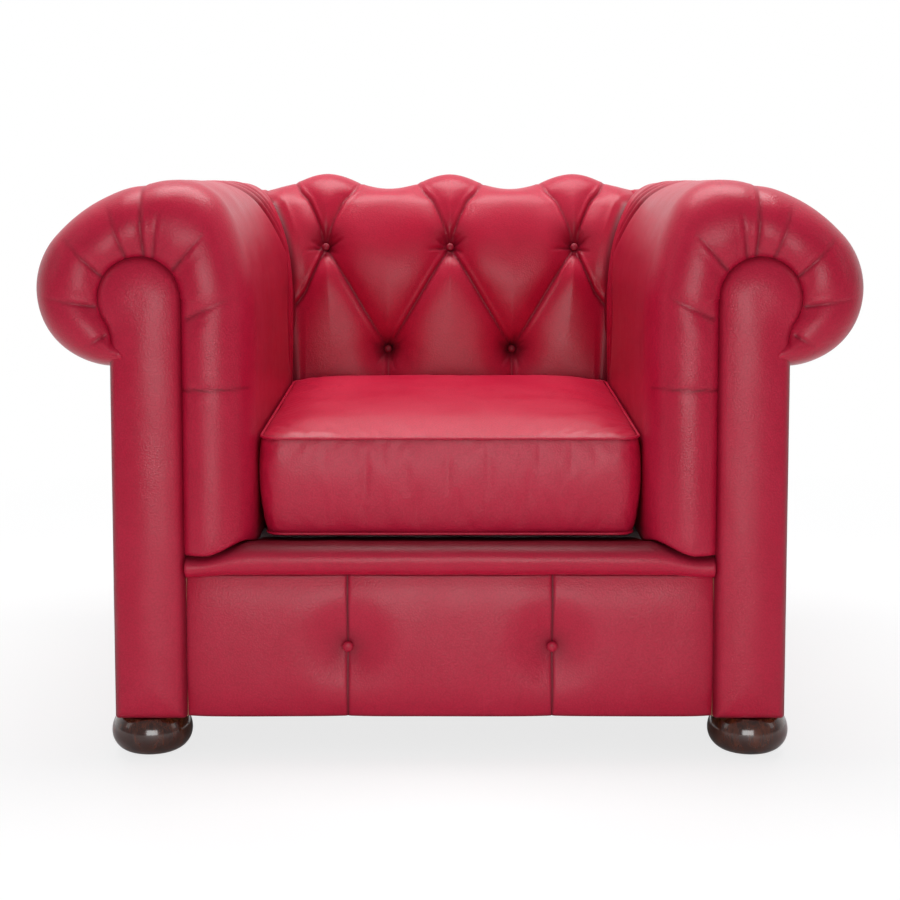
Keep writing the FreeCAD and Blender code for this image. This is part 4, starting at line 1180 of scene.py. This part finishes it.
def leather(name, lift=0.0):
    """Pebbled leather that pales where it is rubbed. It carries painted shade, which darkens it in creases,
    seams, hollows and under the cushion, and a lift above zero makes a lighter copy of it, painted light.
    """
    props = look()
    tree = Tree(name)
    where = tree.place()
    grain = tree.cells(where, 1 / props.grain, "SMOOTH_F1", 0.35)
    fine = tree.noise(where, 1.9 / props.grain, 3.0)
    patches = tree.noise(where, 9.0, 5.0, 0.6)
    blotches = tree.noise(where, 45.0, 4.0, 0.55)
    painted_shades = tree.add("ShaderNodeAttribute", {"attribute_name": "painted_shade"}).outputs["Fac"]
    # A lift above zero lightens the whole copy: painted light, not a different leather.
    base = tuple(c * (1 + lift) for c in props.leather)
    # The dark colour serves both the grain's pits and the painted shade.
    pit_and_shade_colour = tuple(c * 0.13 for c in props.leather)
    patch_share = tree.range(patches, 0.35, 0.72, 0.0, 0.34)
    colour = tree.mix(patch_share, base, tuple(props.wear))
    spot = tree.range(blotches, 0.4, 0.7, 0.0, 0.16)
    colour = tree.mix(spot, colour, tuple(c * 0.75 for c in props.leather))
    pits = tree.range(grain, 0.25, 0.75, 0.0, 0.16)
    colour = tree.mix(pits, colour, pit_and_shade_colour)
    # Painted shade: the colour darkens by up to 92% towards the dark colour where the mesh stores shade.
    colour = tree.mix(tree.math("MULTIPLY", painted_shades, 0.92, True), colour, pit_and_shade_colour)
    rough = tree.range(patches, 0.3, 0.7, props.gloss - 0.05, props.gloss + 0.07)
    rough = tree.math("ADD", rough, tree.math("MULTIPLY", painted_shades, 0.15))
    wide = tree.bump(tree.noise(where, 26.0, 2.0, 0.5), 0.16, 4 * MM)
    pebbles = tree.bump(grain, 0.4, 0.45 * MM, wide)
    skin = tree.bump(fine, 0.15, 0.25 * MM, pebbles)
    tree.set(Base_Color=colour, Roughness=rough, Normal=skin)
    tree.surface.inputs["Specular IOR Level"].default_value = 0.33
    return tree.material


def polished_wood(name):
    """Dark stained wood under a clear lacquer."""
    props = look()
    tree = Tree(name)
    where = tree.place((1, 1, 0.14))
    rings = tree.noise(where, 90.0, 6.0, 0.6)
    fleck = tree.noise(tree.place((1, 1, 0.05)), 420.0, 3.0, 0.5)
    light = tuple(min(1, c * 3.2) for c in props.wood)
    colour = tree.mix(tree.range(rings, 0.42, 0.68, 0.0, 1.0), tuple(props.wood), light)
    colour = tree.mix(tree.range(fleck, 0.5, 0.75, 0.0, 0.6), colour, tuple(c * 0.3 for c in props.wood))
    tree.set(Base_Color=colour, Roughness=tree.range(rings, 0.3, 0.7, 0.16, 0.26))
    tree.set(Normal=tree.bump(fleck, 0.05, 0.2 * MM), Coat_Weight=0.8, Coat_Roughness=0.06)
    return tree.material


def raw_wood(name, light, dark, along=(0.12, 1, 1)):
    """Unfinished wood. along draws its grain out in one direction."""
    tree = Tree(name)
    grain = tree.noise(tree.place(along), 70.0, 6.0, 0.62)
    pores = tree.noise(tree.place(tuple(0.4 * a for a in along)), 900.0, 2.0)
    colour = tree.mix(tree.range(grain, 0.35, 0.68, 0.0, 1.0), light, dark)
    colour = tree.mix(tree.range(pores, 0.55, 0.75, 0.0, 0.5), colour, tuple(c * 0.5 for c in dark))
    tree.set(Base_Color=colour, Roughness=0.72, Normal=tree.bump(grain, 0.2, 0.4 * MM))
    return tree.material


def foamed(name):
    tree = Tree(name)
    pores = tree.cells(tree.place(), 700.0)
    colour = tree.mix(tree.range(pores, 0.2, 0.8, 0.0, 1.0), (0.82, 0.74, 0.5), (0.55, 0.46, 0.26))
    tree.set(Base_Color=colour, Roughness=0.95, Normal=tree.bump(pores, 0.5, 0.6 * MM))
    return tree.material


def woven(name, light, dark, thread=1.2 * MM, coarse=1.0):
    """Cloth with crossing threads seen from above or below."""
    tree = Tree(name)
    where = tree.place()
    bands = []
    for direction in ("X", "Y"):
        node = tree.add("ShaderNodeTexWave", {"wave_type": "BANDS", "bands_direction": direction})
        tree.feed_all(node, Vector=where, Scale=0.32 / thread, Distortion=0.6 * coarse)
        bands.append(node.outputs["Fac"])
    weave = tree.math("MULTIPLY", bands[0], bands[1])
    fuzz = tree.noise(where, 160.0, 4.0)
    colour = tree.mix(weave, dark, light)
    colour = tree.mix(tree.range(fuzz, 0.4, 0.7, 0.0, 0.4), colour, dark)
    tree.set(Base_Color=colour, Roughness=0.9, Normal=tree.bump(weave, 0.5, 0.4 * MM), Sheen_Weight=0.2)
    return tree.material


def felted(name):
    tree = Tree(name)
    fibres = tree.noise(tree.place(), 380.0, 6.0, 0.75)
    colour = tree.mix(tree.range(fibres, 0.35, 0.65, 0.0, 1.0), (0.18, 0.15, 0.12), (0.42, 0.37, 0.30))
    tree.set(Base_Color=colour, Roughness=0.97, Normal=tree.bump(fibres, 0.6, 0.8 * MM), Sheen_Weight=0.3)
    return tree.material


def card_stock(name):
    tree = Tree(name)
    fibres = tree.noise(tree.place((1, 1, 0.4)), 260.0, 5.0, 0.6)
    colour = tree.mix(tree.range(fibres, 0.35, 0.7, 0.0, 1.0), (0.36, 0.26, 0.15), (0.50, 0.39, 0.25))
    tree.set(Base_Color=colour, Roughness=0.85, Normal=tree.bump(fibres, 0.15, 0.2 * MM))
    return tree.material


def metal(name, light, dark, roughness):
    tree = Tree(name)
    marks = tree.noise(tree.place((1, 1, 6)), 240.0, 5.0, 0.6)
    colour = tree.mix(tree.range(marks, 0.35, 0.7, 0.0, 1.0), light, dark)
    rough = tree.range(marks, 0.3, 0.7, roughness, roughness + 0.18)
    tree.set(Base_Color=colour, Metallic=1.0, Roughness=rough)
    tree.set(Normal=tree.bump(marks, 0.06, 0.1 * MM))
    return tree.material


def moulded(name):
    tree = Tree(name)
    grain = tree.noise(tree.place(), 1500.0, 3.0)
    colour = tree.mix(tree.range(grain, 0.4, 0.6, 0.0, 1.0), (0.02, 0.02, 0.02), (0.035, 0.033, 0.03))
    tree.set(Base_Color=colour, Roughness=0.5, Normal=tree.bump(grain, 0.2, 0.05 * MM))
    return tree.material


def dress_carried():
    """Gives every part of the frame its material by its slot, and two cloths their own."""
    made = {
        "leather": leather("leather_panels"),
        "cushion_leather": leather("cushion_leather_plain"),
        "buttons": leather("leather_buttons_plain"),
        "feet": polished_wood("stained_feet"),
        "frame": raw_wood("beech_frame", (0.62, 0.42, 0.24), (0.45, 0.28, 0.14)),
        "plywood": raw_wood("birch_plywood", (0.66, 0.50, 0.32), (0.50, 0.35, 0.20), (1, 1, 0.12)),
        "card": card_stock("upholstery_card"),
        "foam": foamed("foam"),
        "felt": felted("felt_pad"),
        "cloth": woven("black_cloth", (0.035, 0.035, 0.04), (0.008, 0.008, 0.009)),
        "steel": metal("spring_steel", (0.50, 0.50, 0.52), (0.30, 0.30, 0.32), 0.32),
        "glides": moulded("glide_plastic"),
        "zip": metal("zip_brass", (0.78, 0.55, 0.22), (0.50, 0.33, 0.12), 0.30),
    }
    own = {
        "spring_hessian": woven("hessian", (0.50, 0.36, 0.20), (0.22, 0.14, 0.07), 1.8 * MM, 2.0),
        "deck_cloth": woven("deck_cloth_red", (0.17, 0.008, 0.018), (0.07, 0.003, 0.007)),
    }
    for name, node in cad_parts.items():
        item = node if isinstance(node, bpy.types.Object) else bpy.data.objects[name]
        for slot in item.material_slots:
            key = slot.material.name.split(".")[0]
            slot.material = own.get(name, made[key])


# Studio


def area_light(name, place, target, size, power):
    """A soft rectangular lamp that faces a target."""
    data = bpy.data.lights.new(name, "AREA")
    data.shape = "RECTANGLE"
    data.size, data.size_y = size
    data.energy = power
    item = bpy.data.objects.new(name, data)
    item.location = place
    item.rotation_euler = (Vector(target) - Vector(place)).to_track_quat("-Z", "Y").to_euler()
    bpy.context.scene.collection.objects.link(item)
    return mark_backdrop(item)


def make_floor():
    """A pale floor that turns to a white backdrop with distance, for the camera and for reflections."""
    clear_selection()
    bpy.ops.mesh.primitive_grid_add(x_subdivisions=8, y_subdivisions=8, size=30, location=(0, 0, 0))
    floor = bpy.context.object
    floor.name = floor.data.name = "studio_floor"
    tree = Tree("studio_floor")
    where = tree.place()
    mottle = tree.noise(where, 3.0, 3.0)
    colour = tree.mix(tree.range(mottle, 0.3, 0.7, 0.0, 1.0), (0.80, 0.80, 0.80), (0.83, 0.83, 0.83))
    tree.set(Base_Color=colour, Roughness=0.6)
    split = tree.add("ShaderNodeSeparateXYZ")
    tree.feed(split, "0", where)
    seen = seen_as_backdrop(tree, tree.range(split.outputs["Y"], -0.2, 0.6, 0.0, 1.0))
    far = tree.add("ShaderNodeVectorMath", {"operation": "LENGTH"})
    tree.feed(far, "0", where)
    share = tree.math("MULTIPLY", seen, tree.range(far.outputs["Value"], 0.8, 2.2, 0.72, 1.0))
    glow = tree.add("ShaderNodeEmission", Strength=tree.range(far.outputs["Value"], 0.8, 2.2, 1.08, 1.0))
    mix_shaders(tree, share, tree.surface, glow, "Material Output")
    floor.data.materials.append(tree.material)
    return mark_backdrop(floor)


def seen_as_backdrop(tree, behind):
    """One for camera rays, and for glossy and transmitted rays that go to the back of the studio."""
    rays = tree.add("ShaderNodeLightPath").outputs
    reflected = tree.math("MAXIMUM", rays["Is Glossy Ray"], rays["Is Transmission Ray"])
    return tree.math("MAXIMUM", rays["Is Camera Ray"], tree.math("MULTIPLY", reflected, behind))


def mix_shaders(tree, share, first, second, output):
    mixer = tree.add("ShaderNodeMixShader")
    tree.feed(mixer, "0", share)
    tree.feed(mixer, "1", first.outputs[0])
    tree.feed(mixer, "2", second.outputs[0])
    tree.feed(tree.nodes[output], "Surface", mixer.outputs[0])


def make_world():
    """White as a backdrop, and a dim cool light for everything else."""
    world = bpy.data.worlds.new("studio")
    tree = Tree("studio", world)
    tree.set(Color=(1, 1, 1, 1), Strength=1.0)
    lit = tree.add("ShaderNodeBackground", Color=(0.9, 0.93, 1.0, 1), Strength=0.28)
    split = tree.add("ShaderNodeSeparateXYZ")
    tree.feed(split, "0", tree.add("ShaderNodeTexCoord").outputs["Generated"])
    seen = seen_as_backdrop(tree, tree.range(split.outputs["Y"], -0.1, 0.5, 0.0, 1.0))
    mix_shaders(tree, seen, lit, tree.surface, "World Output")
    bpy.context.scene.world = world


def make_camera():
    """The photograph's view: low, straight from the front and tilted down a little."""
    data = bpy.data.cameras.new("camera")
    data.sensor_width = 36
    data.lens = 70.9
    data.shift_y = -0.117
    item = bpy.data.objects.new("camera", data)
    item.location = (0, -2.7, 0.744)
    item.rotation_euler = (math.radians(85), 0, 0)
    bpy.context.scene.collection.objects.link(item)
    bpy.context.scene.camera = item
    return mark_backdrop(item)


def make_stage():
    make_floor()
    make_world()
    make_camera()
    area_light("overhead", (0, 0.2, 2.9), (0, 0, 0.4), (2.4, 1.4), 80)
    area_light("front", (0, -3.4, 0.6), (0, 0, 0.45), (1.7, 1.1), 34)
    area_light("left", (-2.9, -1.2, 1.7), (0, -0.2, 0.4), (0.7, 1.8), 4)
    area_light("right", (2.9, -1.2, 1.7), (0, -0.2, 0.4), (0.7, 1.8), 4)
    bpy.context.scene.view_settings.view_transform = "Standard"


# Add-on: an operator for each group of pieces, and a panel that lists them


class ARMCHAIR_OT_arms(bpy.types.Operator):
    """Pleated leather over both arms"""

    bl_idname = "armchair.arms"
    bl_label = "Arms"

    def execute(self, context):
        make_arms(leather("arm_leather"))
        return {"FINISHED"}


class ARMCHAIR_OT_back(bpy.types.Operator):
    """Buttoned and pleated leather over the back"""

    bl_idname = "armchair.back"
    bl_label = "Back"

    def execute(self, context):
        make_back(leather("back_leather"))
        return {"FINISHED"}


class ARMCHAIR_OT_facings(bpy.types.Operator):
    """Padded panels on the fronts of the arms"""

    bl_idname = "armchair.facings"
    bl_label = "Facings"

    def execute(self, context):
        make_facings(leather("facing_leather"))
        return {"FINISHED"}


class ARMCHAIR_OT_front(bpy.types.Operator):
    """Rounded lip and buttoned panel below the seat"""

    bl_idname = "armchair.front"
    bl_label = "Lip and front panel"

    def execute(self, context):
        material = leather("front_leather")
        make_front_panel(material)
        make_lip(material)
        return {"FINISHED"}


class ARMCHAIR_OT_cushion(bpy.types.Operator):
    """Boxed seat cushion with its piping"""

    bl_idname = "armchair.cushion"
    bl_label = "Cushion"

    def execute(self, context):
        # The cushion's copy of the leather is made 8% lighter: painted light for the brightly lit seat.
        make_cushion(leather("cushion_leather_painted_lighter", 0.08))
        return {"FINISHED"}


class ARMCHAIR_OT_outside(bpy.types.Operator):
    """Panels outside the arms and the back"""

    bl_idname = "armchair.outside"
    bl_label = "Outside panels"

    def execute(self, context):
        make_outside(leather("outside_leather"))
        return {"FINISHED"}


class ARMCHAIR_OT_buttons(bpy.types.Operator):
    """Covered buttons of the back and the front panel"""

    bl_idname = "armchair.buttons"
    bl_label = "Buttons"

    def execute(self, context):
        make_buttons(leather("button_leather"))
        return {"FINISHED"}


class ARMCHAIR_OT_carried(bpy.types.Operator):
    """Wood, card, foam, cloth and metal for the parts of the frame that stay"""

    bl_idname = "armchair.carried"
    bl_label = "Frame materials"

    def execute(self, context):
        dress_carried()
        return {"FINISHED"}


class ARMCHAIR_OT_stage(bpy.types.Operator):
    """Floor, lights, camera and background"""

    bl_idname = "armchair.stage"
    bl_label = "Studio"

    def execute(self, context):
        make_stage()
        return {"FINISHED"}


OPERATORS = (
    ARMCHAIR_OT_carried,
    ARMCHAIR_OT_arms,
    ARMCHAIR_OT_back,
    ARMCHAIR_OT_facings,
    ARMCHAIR_OT_front,
    ARMCHAIR_OT_cushion,
    ARMCHAIR_OT_outside,
    ARMCHAIR_OT_buttons,
    ARMCHAIR_OT_stage,
)


class ARMCHAIR_PT_panel(bpy.types.Panel):
    """Lists the armchair's sizes, colours and pieces"""

    bl_label = "Armchair"
    bl_idname = "ARMCHAIR_PT_panel"
    bl_space_type = "VIEW_3D"
    bl_region_type = "UI"
    bl_category = "Armchair"

    def draw(self, context):
        column = self.layout.column()
        for name in ArmchairLook.__annotations__:
            column.prop(context.scene.armchair_look, name)
        for operator in OPERATORS:
            column.operator(operator.bl_idname)


CLASSES = (ArmchairLook, *OPERATORS, ARMCHAIR_PT_panel)


def register():
    for cls in CLASSES:
        bpy.utils.register_class(cls)
    bpy.types.Scene.armchair_look = bpy.props.PointerProperty(type=ArmchairLook)


def unregister():
    del bpy.types.Scene.armchair_look
    for cls in reversed(CLASSES):
        bpy.utils.unregister_class(cls)


def main():
    register()
    bpy.ops.armchair.carried()
    bpy.ops.armchair.arms()
    bpy.ops.armchair.back()
    bpy.ops.armchair.facings()
    bpy.ops.armchair.front()
    bpy.ops.armchair.cushion()
    bpy.ops.armchair.outside()
    bpy.ops.armchair.buttons()
    bpy.ops.armchair.stage()


if __name__ == "__main__":
    main()
